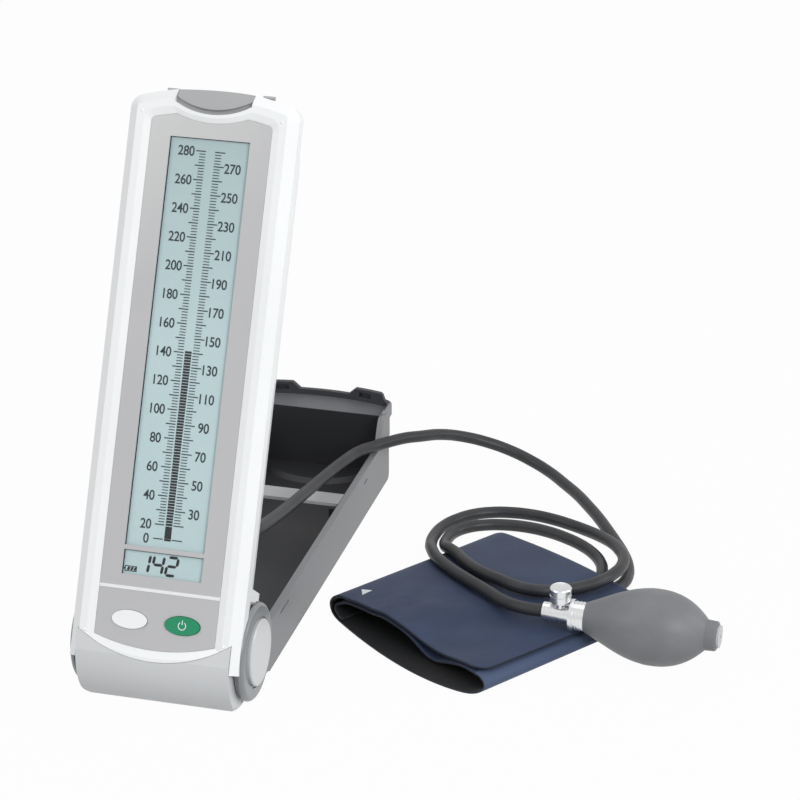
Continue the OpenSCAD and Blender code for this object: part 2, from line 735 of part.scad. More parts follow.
// Contact plates at both ends of the bay, each with a dome that reaches its cell
module battery_contacts() {
    low = bay_low + 3;
    color("#B9BBBD") display_frame() for (s = [-1, 1]) {
        block(s * 8 - 5, s * 8 + 5, display_back + 4, display_back + 14, bay_low + 0.1, bay_low + 0.6);
        block(s * 8 - 5, s * 8 + 5, display_back + 4, display_back + 14,
            bay_low + bay_len - 0.6, bay_low + bay_len - 0.1);
        translate([s * (cell_r + 0.8), -display_back - 9.4, 0]) {
            translate([0, 0, bay_low + 0.5]) cylinder(h = low - bay_low - (s > 0 ? 0.6 : 1.8), r = 2.4);
            translate([0, 0, low + cell_len + (s > 0 ? 1.3 : 0.1)])
                cylinder(h = bay_low + bay_len - 0.5 - low - cell_len - (s > 0 ? 1.3 : 0.1), r = 2.4);
        }
    }
}

// Screws that hold the two shells together
module case_screws() {
    color("#9A9DA0") display_frame() screw_sites() {
        forward_bar(0, 0, 10, 12, 2.8, 2.8);
        forward_bar(0, 0, 12, front_wall - 1.6, 1.45, 1.45);
    }
}

// Thin washers between the barrel and the tray's ears
module friction_washers() {
    color("#D9D2BE") translate([0, hinge_y, hinge_h]) mirror_pair() difference() {
        axle(barrel_half + seat_gap, ear_in - seat_gap, 11);
        axle(barrel_half - 1, ear_in + 1, bore_r + 0.1);
    }
}

// Curved lip that wraps the end of the closed display
module lip_outline(grow) {
    r = 9;
    x = tray_half - r;
    rise_up = sqrt(pow(arch_r + lip_gap + lip_t - r, 2) - pow(x, 2));
    translate([0, arch_mid]) intersection() {
        circle(r = arch_r + lip_gap + grow);
        polygon([[0, 0], [2 * x, 2 * rise_up], [-2 * x, 2 * rise_up]]);
    }
    side = tray_half - lip_t + grow;
    top = arch_mid + rise_up;
    translate([-side, 100]) square([2 * side, top - 100]);
    for (s = [-1, 1]) translate([s * x, top]) circle(r = r - lip_t + grow);
}

module tray_lip(low, high, from) {
    translate([0, hinge_y, low]) linear_extrude(high - low) intersection() {
        difference() {
            lip_outline(lip_t);
            lip_outline(0);
        }
        translate([-half_w, from]) square([2 * half_w, 60]);
    }
}

// Tray: floor, sides with the raised end, ledge, slotted ears and the hinge ears
module base_tray() {
    rise_top = ledge_h + 2.5;
    color("#85878A") difference() {
        union() {
            translate([-tray_half, hinge_y + side_front, 0]) cube([tray_w, end_out - side_front, floor_t]);
            translate([-barrel_half, hinge_y + 14, 0]) cube([2 * barrel_half, side_front - 14, floor_t]);
            mirror_pair() tray_side(tray_inner, tray_half) {
                translate([side_front, 0]) square([end_out - side_front, rim_h]);
            }
            mirror_pair() tray_side(tray_inner, tray_half - 1.9) difference() {
                translate([rise_start - 2, rim_h - 1])
                    square([end_out - rise_start + 2, rise_top - rim_h + 1]);
                rise_cut(rise_top);
            }
            mirror_pair() tray_side(tray_half - 1.9, tray_half) difference() {
                translate([rise_start - 2, rim_h - 1])
                    square([end_out + 4 - rise_start, ledge_h + 3.5 - rim_h + 1]);
                rise_cut(ledge_h + 3.5);
            }
            // End wall, ledge and lip
            translate([-tray_half, hinge_y + end_in, 0]) cube([tray_w, end_t, ledge_h]);
            translate([0, hinge_y, ledge_h - 2.5]) linear_extrude(2.5) intersection() {
                lip_outline(lip_t);
                translate([-half_w, end_in]) square([2 * half_w, 60]);
            }
            tray_lip(ledge_h - 2.5, lip_h, end_in - 4);
            intersection() {
                tray_lip(ledge_h - 2.5, ear_h, end_in - 4);
                translate([0, hinge_y + 250, 0]) rotate([-90, 0, 0]) mirror([0, 1, 0]) linear_extrude(80)
                    for (s = [-1, 1]) polygon([[s * 15, ledge_h - 3], [s * 16, lip_h],
                        [s * 20, ear_h - 0.8], [s * 21, ear_h], [s * 38, ear_h], [s * 39.4, ear_h - 0.8],
                        [s * 41, lip_h], [s * 41, ledge_h - 3]]);
            }
            // Shallow step on the floor at the foot of the end wall
            intersection() {
                translate([-tray_inner, hinge_y + 200, 0])
                    cube([2 * tray_inner, end_in - 200 + 1, floor_t + 2.5]);
                translate([0, hinge_y + end_in + 20, floor_t - 1]) cylinder(h = 3.5, r1 = 46, r2 = 41);
            }
            // Hinge ears
            mirror_pair() translate([0, hinge_y, hinge_h]) {
                axle(ear_in, tray_half, ring_r - 1.5);
                translate([ear_in, 0, 0]) rotate([90, 0, 90]) linear_extrude(tray_half - ear_in)
                    polygon([[0, 0], [10, 3.6 - ring_r], [side_front, -hinge_h + 1],
                        [side_front, rim_h - hinge_h], [0, rim_h - hinge_h]]);
            }
            // Ribs that carry the cross-bar
            mirror_pair() translate([tray_inner - 5, hinge_y + bar_start - 3, floor_t])
                cube([5.1, bar_w + 6, rim_h - floor_t - bar_t - seat_gap]);
        }
        // Room for the barrel and the bores of the hinge pins
        translate([0, hinge_y, hinge_h]) {
            axle(-barrel_half - 0.7, barrel_half + 0.7, cradle_r);
            axle(-half_w, half_w, bore_r);
        }
        // Pockets for the latch hooks in the ears
        for (s = [-1, 1]) intersection() {
            translate([s * hook_out - hook_w / 2 - 0.75, hinge_y + end_in + 6, hinge_h + taper_end - 2.4])
                cube([hook_w + 1.5, 30, 3.2]);
            translate([0, hinge_y, 0]) linear_extrude(80) lip_outline(lip_t - 0.7);
        }
        // Small slots in the sides
        mirror_pair() {
            translate([tray_half - 1.2, hinge_y + 51, 24.6]) cube([2, 16, 1.4]);
            translate([tray_half - 1.2, hinge_y + 226, 22.4]) cube([2, 8, 1.2]);
        }
        // Pockets for the pads and the cross-bar's pegs
        for (y = [side_front + 16, end_in - 18], s = [-1, 1]) translate([s * 32, hinge_y + y, -1])
            linear_extrude(2) rounded_rect(14, 14, 5);
        for (s = [-1, 1]) translate([s * (tray_inner - 2.5), hinge_y + bar_start + bar_w / 2, peg_low])
            cylinder(h = 20, r = 1.05);
        // Rounded foot of the end wall
        tray_side(-half_w, half_w) difference() {
            translate([end_out - 4, -1]) square([6, 5]);
            translate([end_out - 4, 4]) circle(r = 4);
        }
    }
}

// Region above the S-shaped rise
module rise_cut(top) {
    steps = 8;
    polygon(concat([[rise_start - 5, top + 30], [rise_start - 5, rim_h], [rise_start, rim_h]],
        [for (i = [1 : steps]) [rise_start + rise_len * i / steps, rim_h + (top - rim_h) * rise(i / steps)]],
        [[rise_start + rise_len, top + 30]]));
}

// Dark ring round a hub, with a rounded face
module hub_ring() {
    translate([0, hinge_y, hinge_h]) rotate([0, 90, 0]) translate([0, 0, tray_half]) rotate_extrude() {
        translate([cap_r + 0.1, 0]) square([1.3, ring_t - 0.8]);
        difference() {
            translate([cap_r + 1.4, 0]) square([ring_r - cap_r - 1.4, ring_t]);
            translate([ring_r - ring_t, ring_t - ring_t]) difference() {
                square([ring_t + 1, ring_t + 1]);
                circle(r = ring_t);
            }
        }
    }
}

module hub_ring_left() {
    color("#6E7175") mirror([1, 0, 0]) hub_ring();
}

module hub_ring_right() {
    color("#6E7175") hub_ring();
}

// Pale disc in the middle of a hub
module hub_cap() {
    translate([0, hinge_y, hinge_h]) rotate([0, 90, 0]) translate([0, 0, tray_half]) rotate_extrude()
        polygon([[cap_r - 1.6, 0], [cap_r, 0], [cap_r, cap_t - 0.7], [cap_r - 0.7, cap_t], [0, cap_t],
            [0, cap_t - 1.6], [cap_r - 1.6, cap_t - 1.6]]);
}

module hub_cap_left() {
    color("#C8C9CB") mirror([1, 0, 0]) hub_cap();
}

module hub_cap_right() {
    color("#C8C9CB") hub_cap();
}

// Headed pins through the ears into the bosses
module hinge_pins() {
    color("#B4B6B8") translate([0, hinge_y, hinge_h]) mirror_pair() {
        axle(boss_in - 1, tray_half, pin_r);
        axle(tray_half, tray_half + 2, pin_r + 4);
    }
}

// Flat cross-bar that keeps the cuff in the front of the tray, with a peg in each rib
module cuff_retainer() {
    color("#9A9C9F") {
        translate([-tray_inner + 0.1, hinge_y + bar_start, rim_h - bar_t])
            cube([2 * tray_inner - 0.2, bar_w, bar_t]);
        for (s = [-1, 1]) translate([s * (tray_inner - 2.5), hinge_y + bar_start + bar_w / 2, peg_low + 0.5])
            cylinder(h = rim_h - bar_t - peg_low, r = 1);
    }
}
peg_low = 15;

// Four pads let flush into the underside
module tray_pads() {
    color("#3A3B3D") for (y = [side_front + 16, end_in - 18], s = [-1, 1])
        translate([s * 32, hinge_y + y, 0]) linear_extrude(1) rounded_rect(13.8, 13.8, 4.9);
}

// Stepped plug on the hose, pushed into the socket
module hose_plug() {
    color("#2E2F32") display_frame() {
        forward_bar(plug_out, plug_up, display_back - 1.7, display_back + 4.8, 2.95, 2.95);
        forward_bar(plug_out, plug_up, display_back - 9, display_back - 1.7, 5.6, 5.6);
        forward_bar(plug_out, plug_up, display_back - 20, display_back - 9, 3.7, 5.2);
    }
}

// Direction of a route at a point, from its neighbours
function unit(v) = v / norm(v);
function heading(path, i) = unit(path[min(i + 1, len(path) - 1)] - path[max(i - 1, 0)]);
function side_of(d) = unit(cross(d, [0, 0, 1]));
function tube_ring(path, i, r, sides) = let(d = heading(path, i), a = side_of(d), b = cross(a, d))
    [for (k = [0 : sides - 1]) path[i] + r * (cos(360 * k / sides) * a + sin(360 * k / sides) * b)];

// Closed tube along part of a route
module tube(path, first, last, r, sides) {
    count = last - first;
    points = [for (i = [first : last]) each tube_ring(path, i, r, sides)];
    walls = [for (i = [0 : count - 1], k = [0 : sides - 1]) each
        [[i * sides + k, (i + 1) * sides + k, i * sides + (k + 1) % sides],
            [i * sides + (k + 1) % sides, (i + 1) * sides + k, (i + 1) * sides + (k + 1) % sides]]];
    ends = [for (k = [1 : sides - 2]) each
        [[0, k, k + 1], [count * sides, count * sides + k + 1, count * sides + k]]];
    polyhedron(points = points, faces = concat(walls, ends));
}

// The hose from the display, as far as the outside of the tray
module hose_lead() {
    color("#2C2D30") tube(gauge_hose_path, 0, lead_rings - 1, hose_d / 2, 8);
}

module cuff_hose() {
    color("#2C2D30") tube(gauge_hose_path, lead_rings - 1, len(gauge_hose_path) - 1, hose_d / 2, 8);
}

module bulb_hose() {
    color("#2C2D30") tube(bulb_hose_path, 0, len(bulb_hose_path) - 1, hose_d / 2, 8);
}

// The folded cuff lies turned on the table
cuff_turn = -32.5;
cuff_corner = [60, -53];
module cuff_frame() {
    translate([cuff_corner[0], cuff_corner[1], 0]) rotate(cuff_turn) children();
}

// Height of the roll across its fold: low at the left, crowned, rounder at the right
function cuff_crown(t) = let(u = t / cuff_w)
    cuff_h * (0.56 + 0.44 * sin(min(1, u * 1.5) * 90)) * (1 - 0.3 * pow(u, 3));
function cuff_edge(t, s) = s - cuff_bow * sin(180 * t / cuff_w) * pow(1 - s / cuff_len, 2);
function cuff_fall(s) = 1 - 0.28 * s / cuff_len;
function roll_h(t, s) = (cuff_crown(t) - flap_t - patch_t - 2 * 0.2) * cuff_fall(s);
flap_t = 1.6;
patch_t = 0.8;

// One closed loop across the roll, inset for the inner face
function cuff_loop(s, inset) = let(n = 20, w = cuff_w - 2 * inset,
    row = [for (i = [0 : n]) let(u = (1 - cos(180 * i / n)) / 2, t = inset + w * u, h = roll_h(t, s),
        swell = (h / 2 - inset) * sqrt(max(0, 1 - pow(2 * u - 1, 8)))) [t, h / 2, swell]])
    concat([for (i = [0 : n]) [row[i][0], cuff_edge(row[i][0], s), row[i][1] + row[i][2]]],
        [for (i = [n - 1 : -1 : 1]) [row[i][0], cuff_edge(row[i][0], s), row[i][1] - row[i][2]]]);

// Flattened sleeve: an outer skin and an inner skin joined at both mouths
module sleeve(inset0, inset1, s0, s1) {
    rows = 8;
    n = 40;
    m = (rows + 1) * n;
    points = [for (inset = [inset0, inset1], j = [0 : rows])
        each cuff_loop(s0 + (s1 - s0) * j / rows, inset)];
    skin = [for (j = [0 : rows - 1], k = [0 : n - 1]) let(a = j * n + k, b = j * n + (k + 1) % n) each
        [[a, a + n, b], [b, a + n, b + n], [m + a, m + b, m + a + n], [m + b, m + b + n, m + a + n]]];
    mouths = [for (k = [0 : n - 1]) let(b = (k + 1) % n, c = rows * n + k, d = rows * n + b) each
        [[k, b, m + k], [b, m + b, m + k], [c, m + c, d], [d, m + c, m + d]]];
    polyhedron(points = points, faces = concat(skin, mouths));
}

// Cloth layer that follows the top of the roll
module top_layer(t0, t1, s0, s1, lift, thick) {
    cols = 10;
    rows = 6;
    n = cols + 1;
    m = n * (rows + 1);
    points = [for (up = [0, thick], j = [0 : rows], i = [0 : cols])
        let(t = t0 + (t1 - t0) * i / cols, s = s0 + (s1 - s0) * j / rows) [t, cuff_edge(t, s), roll_h(t, s) + lift + up]];
    flat = [for (j = [0 : rows - 1], i = [0 : cols - 1]) let(a = j * n + i) each
        [[a, a + 1, a + n], [a + 1, a + n + 1, a + n], [m + a, m + a + n, m + a + 1],
            [m + a + 1, m + a + n, m + a + n + 1]]];
    front = [for (i = [0 : cols - 1]) let(c = rows * n + i) each
        [[i, m + i, i + 1], [i + 1, m + i, m + i + 1], [c, c + 1, m + c], [c + 1, m + c + 1, m + c]]];
    sides = [for (j = [0 : rows - 1]) let(a = j * n, b = j * n + cols) each
        [[a, a + n, m + a], [a + n, m + a + n, m + a], [b, m + b, b + n], [b + n, m + b, m + b + n]]];
    polyhedron(points = points, faces = concat(flat, front, sides));
}

// Cloth cover of the folded cuff
module cuff_cover() {
    color("#3F4A60") cuff_frame() sleeve(0, cuff_ply, 0, cuff_len);
}

// Outer end of the wrap, folded over the top and ending short of the right fold
module cuff_flap() {
    color("#44506A") cuff_frame() top_layer(10, 118, 0, cuff_len - 1, patch_t + 2 * 0.2, flap_t);
}

// Hook strip under the free edge of the flap
module hook_patch() {
    color("#222327") cuff_frame() top_layer(94, 114, 12, cuff_len - 20, 0.2, patch_t);
}

// Rubber bag inside the roll, on its lower layer
module cuff_bladder() {
    color("#2A2B2E") cuff_frame() translate([24, 14, cuff_ply + gap]) cube([80, cuff_len - 21.5, 1.9]);
}

// Short fitting at the end of a hose, inside the mouth of the roll
module cuff_port(path) {
    last = len(path) - 1;
    d = heading(path, last);
    translate(path[last]) rotate([0, acos(d[2]), atan2(d[1], d[0])]) cylinder(h = 7.6, r1 = 2.4, r2 = 2.2);
}

module cuff_ports() {
    color("#2E2F32") {
        cuff_port(gauge_hose_path);
        cuff_port(bulb_hose_path);
    }
}

// The bulb and its valve lie along one line; X runs from the valve to the bulb's far end
module bulb_frame() {
    translate(bulb_start) rotate([0, 0, bulb_turn]) children();
}

module along_bulb() {
    bulb_frame() rotate([0, 90, 0]) rotate_extrude() rotate(90) mirror([0, 1]) children();
}

function curve(a, b, c, d, t) =
    pow(1 - t, 3) * a + 3 * pow(1 - t, 2) * t * b + 3 * (1 - t) * t * t * c + t * t * t * d;
function bulb_side(inset) =
    let(top = bulb_r - inset, neck = 8.5 - inset, mid = bulb_len * 0.55, far = bulb_len * 0.935)
    concat([for (i = [0 : 10]) curve([inset * 2, neck], [14, neck + 6], [mid - 16, top], [mid, top], i / 10)],
        [for (i = [1 : 10])
            curve([mid, top], [mid + 15, top], [far - 5, neck + 5.6], [far - inset, neck + 0.2], i / 10)]);

// Hollow rubber bulb with a neck at each end
module bulb() {
    side = bulb_side(0);
    hollow = bulb_side(bulb_wall);
    color("#8C8E92") along_bulb() difference() {
        polygon(concat([[0, 0]], side, [[bulb_len + 1.5, 8.4], [bulb_len + 1.5, 0]]));
        polygon(concat([[hollow[0][0], 0]], hollow, [[bulb_len * 0.935 - bulb_wall, 0]]));
        translate([-1, -1]) square([12, spigot_r + pin_gap + 1]);
        translate([bulb_len - 10, -1]) square([20, 6 + pin_gap + 1]);
    }
}

// Intake with its disc, pushed into the far neck
module bulb_inlet_valve() {
    color("#D4D5D7") along_bulb() difference() {
        union() {
            translate([bulb_len - 6, 0]) square([7.6, 6]);
            translate([bulb_len + 1.6, 0]) square([1.5, 6.4]);
        }
        translate([bulb_len - 7, -1]) square([12, 2.2]);
    }
}

// Plated valve body: hose end, boss for the screw and spigot for the bulb
module valve_body() {
    color("#C9CBCD") bulb_frame() difference() {
        union() {
            translate([-8.6 - valve_len - 1, 0, 0]) rotate([0, 90, 0])
                cylinder(h = valve_len + 1, r = valve_r);
            translate([-8.7, 0, 0]) rotate([0, 90, 0]) cylinder(h = 18, r = spigot_r);
            translate([knob_at, 0, 0]) cylinder(h = valve_r + 1.8, r = 3.3);
        }
        translate([-11, 0, 0]) rotate([0, 90, 0]) cylinder(h = 30, r = 1.2);
        translate([knob_at, 0, 0]) cylinder(h = 20, r = needle_r + pin_gap);
        translate([-40, 0, 0]) rotate([0, 90, 0]) cylinder(h = 23, r = 1.6);
    }
}
needle_r = 1.6;

// Plated collar with a flange between the body and the bulb
module valve_collar() {
    color("#B9BCBF") along_bulb() difference() {
        union() {
            translate([-8.5, 0]) square([1.9, 9.2]);
            translate([-6.6, 0]) square([6.5, 8]);
            for (step = [0 : 2]) translate([-5.8 + step * 2, 0]) square([1.2, 8.4]);
        }
        translate([-10, -1]) square([12, spigot_r + pin_gap + 1]);
    }
}

// Knurled knob on the bleed screw
module valve_knob() {
    low = valve_r + 2.3;
    grooves = 24;
    color("#C3C5C8") bulb_frame() translate([knob_at, 0, low]) difference() {
        union() {
            cylinder(h = 0.6, r1 = knob_r - 0.6, r2 = knob_r);
            translate([0, 0, 0.6]) cylinder(h = knob_h - 2.8, r = knob_r);
            translate([0, 0, knob_h - 2.2]) cylinder(h = 0.6, r1 = knob_r, r2 = knob_r - 0.6);
        }
        for (i = [0 : grooves - 1]) rotate(360 * i / grooves) translate([knob_r + 0.25, 0, 1.2])
            cylinder(h = knob_h - 4.2, r = 0.55, $fn = 24);
        translate([0, 0, -1]) cylinder(h = knob_h - 2.9, r = needle_r + 0.02);
    }
}

// Bleed screw that the knob turns
module valve_needle() {
    color("#A9ACAF") bulb_frame() translate([knob_at, 0, 2.4]) {
        cylinder(h = 2.6, r1 = 0.4, r2 = needle_r);
        translate([0, 0, 2.6]) cylinder(h = valve_r + knob_h - 6.8, r = needle_r);
    }
}

// Least distance between stretches of one route that lie more than a few points apart
function halfway(path) = [for (i = [0 : len(path) - 2]) each [path[i], (path[i] + path[i + 1]) / 2]];
function route_gap(path) =
    min([for (i = [0 : len(path) - 8], j = [i + 7 : len(path) - 1]) norm(path[i] - path[j])]) - hose_d;
function between(a, b) = min([for (p = a, q = b) norm(p - q)]) - hose_d;
echo(bulb_hose_gap = route_gap(halfway(bulb_hose_path)), gauge_hose_gap = route_gap(halfway(gauge_hose_path)),
    hose_to_hose = between(halfway(gauge_hose_path), halfway(bulb_hose_path)));

front_bezel();
face_panel();
lcd_window();
lcd_panel();
lcd_holder();
backlight();
main_board();
pressure_sensor();
sensor_tube();
air_socket();
rear_shell();
foot_cover();
foot_pads();
mark_button();
power_button();
key_switches();
latch_button();
latch_bar();
latch_springs();
battery_cover();
batteries();
battery_contacts();
case_screws();
friction_washers();
base_tray();
hub_ring_left();
hub_ring_right();
hub_cap_left();
hub_cap_right();
hinge_pins();
cuff_retainer();
tray_pads();
hose_plug();
hose_lead();
cuff_hose();
bulb_hose();
cuff_ports();
cuff_cover();
cuff_flap();
cuff_bladder();
hook_patch();
valve_body();
valve_knob();
valve_needle();
valve_collar();
bulb();
bulb_inlet_valve();
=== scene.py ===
import json
import math
import bmesh
import bpy
from mathutils import Matrix, Vector


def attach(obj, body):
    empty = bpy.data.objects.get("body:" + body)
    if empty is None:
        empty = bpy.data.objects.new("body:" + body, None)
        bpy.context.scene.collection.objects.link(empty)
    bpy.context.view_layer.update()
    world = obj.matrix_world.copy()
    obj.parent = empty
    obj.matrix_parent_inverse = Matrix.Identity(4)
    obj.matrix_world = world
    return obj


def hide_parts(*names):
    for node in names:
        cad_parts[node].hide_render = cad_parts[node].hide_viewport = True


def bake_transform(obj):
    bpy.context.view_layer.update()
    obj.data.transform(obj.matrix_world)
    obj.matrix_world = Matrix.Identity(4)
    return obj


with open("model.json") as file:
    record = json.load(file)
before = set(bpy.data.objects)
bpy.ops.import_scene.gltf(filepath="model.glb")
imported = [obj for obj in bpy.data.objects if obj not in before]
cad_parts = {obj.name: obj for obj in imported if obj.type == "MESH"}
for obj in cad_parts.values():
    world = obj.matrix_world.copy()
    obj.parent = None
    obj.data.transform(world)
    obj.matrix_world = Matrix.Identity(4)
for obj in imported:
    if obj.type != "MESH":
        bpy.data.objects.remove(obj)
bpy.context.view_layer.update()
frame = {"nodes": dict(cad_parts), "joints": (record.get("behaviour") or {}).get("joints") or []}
nodes = frame["nodes"]

# The display leans back on its hinge; its own frame has X across, -Y forward and Z up along the case
hingePoint = Vector(next(j for j in frame["joints"] if j["name"] == "display_fold")["pos_m"])
lean = math.radians(25.5)
displayPlace = Matrix.Translation(hingePoint) @ Matrix.Rotation(-lean, 4, "X")


# Small tools
def channel(value):
    return value / 12.92 if value <= 0.04045 else ((value + 0.055) / 1.055) ** 2.4


def colour(code):
    return tuple(channel(int(code[i:i + 2], 16) / 255) for i in (1, 3, 5)) + (1.0,)


def addNode(owner, kind, settings=None, links=None):
    # Adds a node to a material or to the world, with its settings and what feeds it
    node = owner.node_tree.nodes.new(kind)
    for name, value in (settings or {}).items():
        if isinstance(name, int) or name in node.inputs:
            node.inputs[name].default_value = value
        else:
            setattr(node, name, value)
    for name, source in (links or {}).items():
        owner.node_tree.links.new(source, node.inputs[name])
    return node


def newMaterial(name, sockets):
    material = bpy.data.materials.new(name)
    material.use_nodes = True
    shader = material.node_tree.nodes["Principled BSDF"]
    for socket, value in sockets.items():
        shader.inputs[socket].default_value = value
    return material, shader


def join(owner, source, target):
    owner.node_tree.links.new(source, target)


def bezier(a, b, c, d, t):
    return (1 - t) ** 3 * a + 3 * (1 - t) ** 2 * t * b + 3 * (1 - t) * t * t * c + t ** 3 * d


def paint(name, material):
    mesh = nodes[name].data
    mesh.materials.clear()
    mesh.materials.append(material)


def meshObject(bm, name, material, smooth=None):
    bmesh.ops.recalc_face_normals(bm, faces=bm.faces)
    mesh = bpy.data.meshes.new(name)
    bm.to_mesh(mesh)
    bm.free()
    mesh.materials.append(material)
    obj = bpy.data.objects.new(name, mesh)
    bpy.context.scene.collection.objects.link(obj)
    if smooth is not None:
        mesh.polygons.foreach_set("use_smooth", [True] * len(mesh.polygons))
        mesh.set_sharp_from_angle(angle=math.radians(smooth))
    return obj


# Materials
def mouldedPlastic(name, base, roughness, grain, depth, coat=0.0):
    # Injection-moulded ABS: an even colour with a spark-eroded grain that softens the gloss.
    # The grain is in millimetres, the depth too; a slow cloud of 60 mm keeps wide faces from looking flat
    material, shader = newMaterial(name, {"Roughness": roughness, "IOR": 1.53, "Coat Weight": coat,
                                          "Coat Roughness": 0.12})
    place = addNode(material, "ShaderNodeTexCoord")
    fine = addNode(material, "ShaderNodeTexNoise", {"Scale": 1000 / grain, "Detail": 2.0},
                   {"Vector": place.outputs["Object"]})
    cloud = addNode(material, "ShaderNodeTexNoise", {"Scale": 1000 / 60, "Detail": 1.0},
                    {"Vector": place.outputs["Object"]})
    tone = addNode(material, "ShaderNodeMix", {"data_type": "RGBA"}, {"Factor": cloud.outputs["Fac"]})
    low, high = colour(base), tuple(min(1.0, c * 1.05) for c in colour(base)[:3]) + (1.0,)
    tone.inputs[6].default_value = tuple(c * 0.97 for c in low[:3]) + (1.0,)
    tone.inputs[7].default_value = high
    join(material, tone.outputs[2], shader.inputs["Base Color"])
    rough = addNode(material, "ShaderNodeMapRange", {"To Min": roughness - 0.04, "To Max": roughness + 0.06},
                    {"Value": fine.outputs["Fac"]})
    join(material, rough.outputs[0], shader.inputs["Roughness"])
    bump = addNode(material, "ShaderNodeBump", {"Strength": 0.35, "Distance": depth / 1000},
                   {"Height": fine.outputs["Fac"]})
    join(material, bump.outputs["Normal"], shader.inputs["Normal"])
    return material


def positionMask(material, checks, layer="Object"):
    # Multiplies limits on the object's own coordinates, or on its UV: (direction, low, high, absolute)
    place = addNode(material, "ShaderNodeTexCoord")
    total = None
    for direction, low, high, absolute in checks:
        along = addNode(material, "ShaderNodeVectorMath", {"operation": "DOT_PRODUCT", 1: direction},
                        {0: place.outputs[layer]})
        value = along.outputs["Value"]
        if absolute:
            value = addNode(material, "ShaderNodeMath", {"operation": "ABSOLUTE"}, {0: value}).outputs[0]
        over = addNode(material, "ShaderNodeMath", {"operation": "GREATER_THAN", 1: low}, {0: value})
        under = addNode(material, "ShaderNodeMath", {"operation": "LESS_THAN", 1: high}, {0: value})
        both = addNode(material, "ShaderNodeMath", {"operation": "MULTIPLY"},
                       {0: over.outputs[0], 1: under.outputs[0]}).outputs[0]
        total = both if total is None else addNode(material, "ShaderNodeMath", {"operation": "MULTIPLY"},
                                                   {0: total, 1: both}).outputs[0]
    return total


def overpaint(material, mask, code):
    # Puts another colour over the base colour inside the mask
    shader = material.node_tree.nodes["Principled BSDF"]
    below = shader.inputs["Base Color"].links[0].from_socket
    mix = addNode(material, "ShaderNodeMix", {"data_type": "RGBA"}, {"Factor": mask, 6: below})
    mix.inputs[7].default_value = colour(code)
    join(material, mix.outputs[2], shader.inputs["Base Color"])


whiteAbs = mouldedPlastic("whiteAbsSatin", "#F1F3F4", 0.36, 0.9, 0.02, 0.15)
footAbs = mouldedPlastic("paleGreyAbs", "#D2D4D6", 0.42, 0.9, 0.03)
panelPlate = mouldedPlastic("greyPrintedPlate", "#BDBDBF", 0.45, 0.6, 0.015)
latchAbs = mouldedPlastic("midGreyAbs", "#A9AAAC", 0.45, 0.8, 0.03)
trayAbs = mouldedPlastic("darkGreyAbs", "#85878A", 0.5, 0.8, 0.04)
ringAbs = mouldedPlastic("slateAbs", "#84878A", 0.36, 0.8, 0.02, 0.2)
capAbs = mouldedPlastic("silverGreyAbs", "#C8CACC", 0.3, 0.8, 0.015, 0.3)
buttonWhite = mouldedPlastic("whiteButtonAbs", "#F6F7F8", 0.28, 0.8, 0.01, 0.3)
buttonGreen = mouldedPlastic("greenButtonAbs", "#088A5E", 0.34, 0.8, 0.01, 0.05)
plugAbs = mouldedPlastic("blackPlugPvc", "#2B2C2F", 0.4, 0.8, 0.02)
innerAbs = mouldedPlastic("naturalAbs", "#D8DADB", 0.5, 0.8, 0.02)
intakeAbs = mouldedPlastic("paleIntakeAbs", "#BFC1C3", 0.4, 0.8, 0.02)
nylon = mouldedPlastic("naturalNylon", "#D9D2BE", 0.45, 0.8, 0.01)

# On the panel: a white line printed under the small window, and a painted highlight that makes the upper left
# corner paler
panelLineAndHighlight = {"lineLow": 0.0272, "lineHigh": 0.0290, "highlightFrom": 0.19, "highlightTo": 0.27, "highlightMost": 0.6,
              "highlightTowards": (-0.6, 0.0, 0.8)}
upDisplay = (0, math.sin(lean), math.cos(lean))
hingeUp = hingePoint.y * math.sin(lean) + hingePoint.z * math.cos(lean)
whiteLine = positionMask(panelPlate, [(upDisplay, hingeUp + panelLineAndHighlight["lineLow"],
                                       hingeUp + panelLineAndHighlight["lineHigh"], False)])
overpaint(panelPlate, whiteLine, "#EEF0F1")
# Painted highlight: the plate's upper left is painted paler, standing in for the sheen of the light on it
panelPlace = addNode(panelPlate, "ShaderNodeTexCoord")
panelAlong = addNode(panelPlate, "ShaderNodeVectorMath",
                     {"operation": "DOT_PRODUCT", 1: panelLineAndHighlight["highlightTowards"]},
                     {0: panelPlace.outputs["Object"]})
panelPaintedHighlight = addNode(panelPlate, "ShaderNodeMapRange",
                    {"From Min": panelLineAndHighlight["highlightFrom"], "From Max": panelLineAndHighlight["highlightTo"],
                     "To Min": 0.0, "To Max": panelLineAndHighlight["highlightMost"]},
                    {"Value": panelAlong.outputs["Value"]})
overpaint(panelPlate, panelPaintedHighlight.outputs[0], "#DBDCDA")

# Painted shade: the tray is painted darker inside, in the lip over its far end and on the ledge's top, where
# shade falls
trayZones = {"wallInside": 0.0431, "lipInside": 0.0448, "floorTop": 0.0026, "endStart": 0.1258,
             "ledgeLow": 0.0428, "ledgeHigh": 0.0437, "lipLow": 0.0438}
trayInsideShade = positionMask(trayAbs, [((1, 0, 0), -1, trayZones["wallInside"], True),
                                    ((0, 0, 1), trayZones["floorTop"], 1, False),
                                    ((0, 1, 0), -1, trayZones["endStart"], False)])
overpaint(trayAbs, trayInsideShade, "#242529")
lipInside = positionMask(trayAbs, [((1, 0, 0), -1, trayZones["lipInside"], True),
                                   ((0, 0, 1), trayZones["lipLow"], 1, False),
                                   ((0, 1, 0), trayZones["endStart"], 1, False)])
overpaint(trayAbs, lipInside, "#35363B")
ledgeTopShade = positionMask(trayAbs, [((1, 0, 0), -1, trayZones["lipInside"], True),
                                  ((0, 0, 1), trayZones["ledgeLow"], trayZones["ledgeHigh"], False),
                                  ((0, 1, 0), trayZones["endStart"], 1, False)])
overpaint(trayAbs, ledgeTopShade, "#636568")


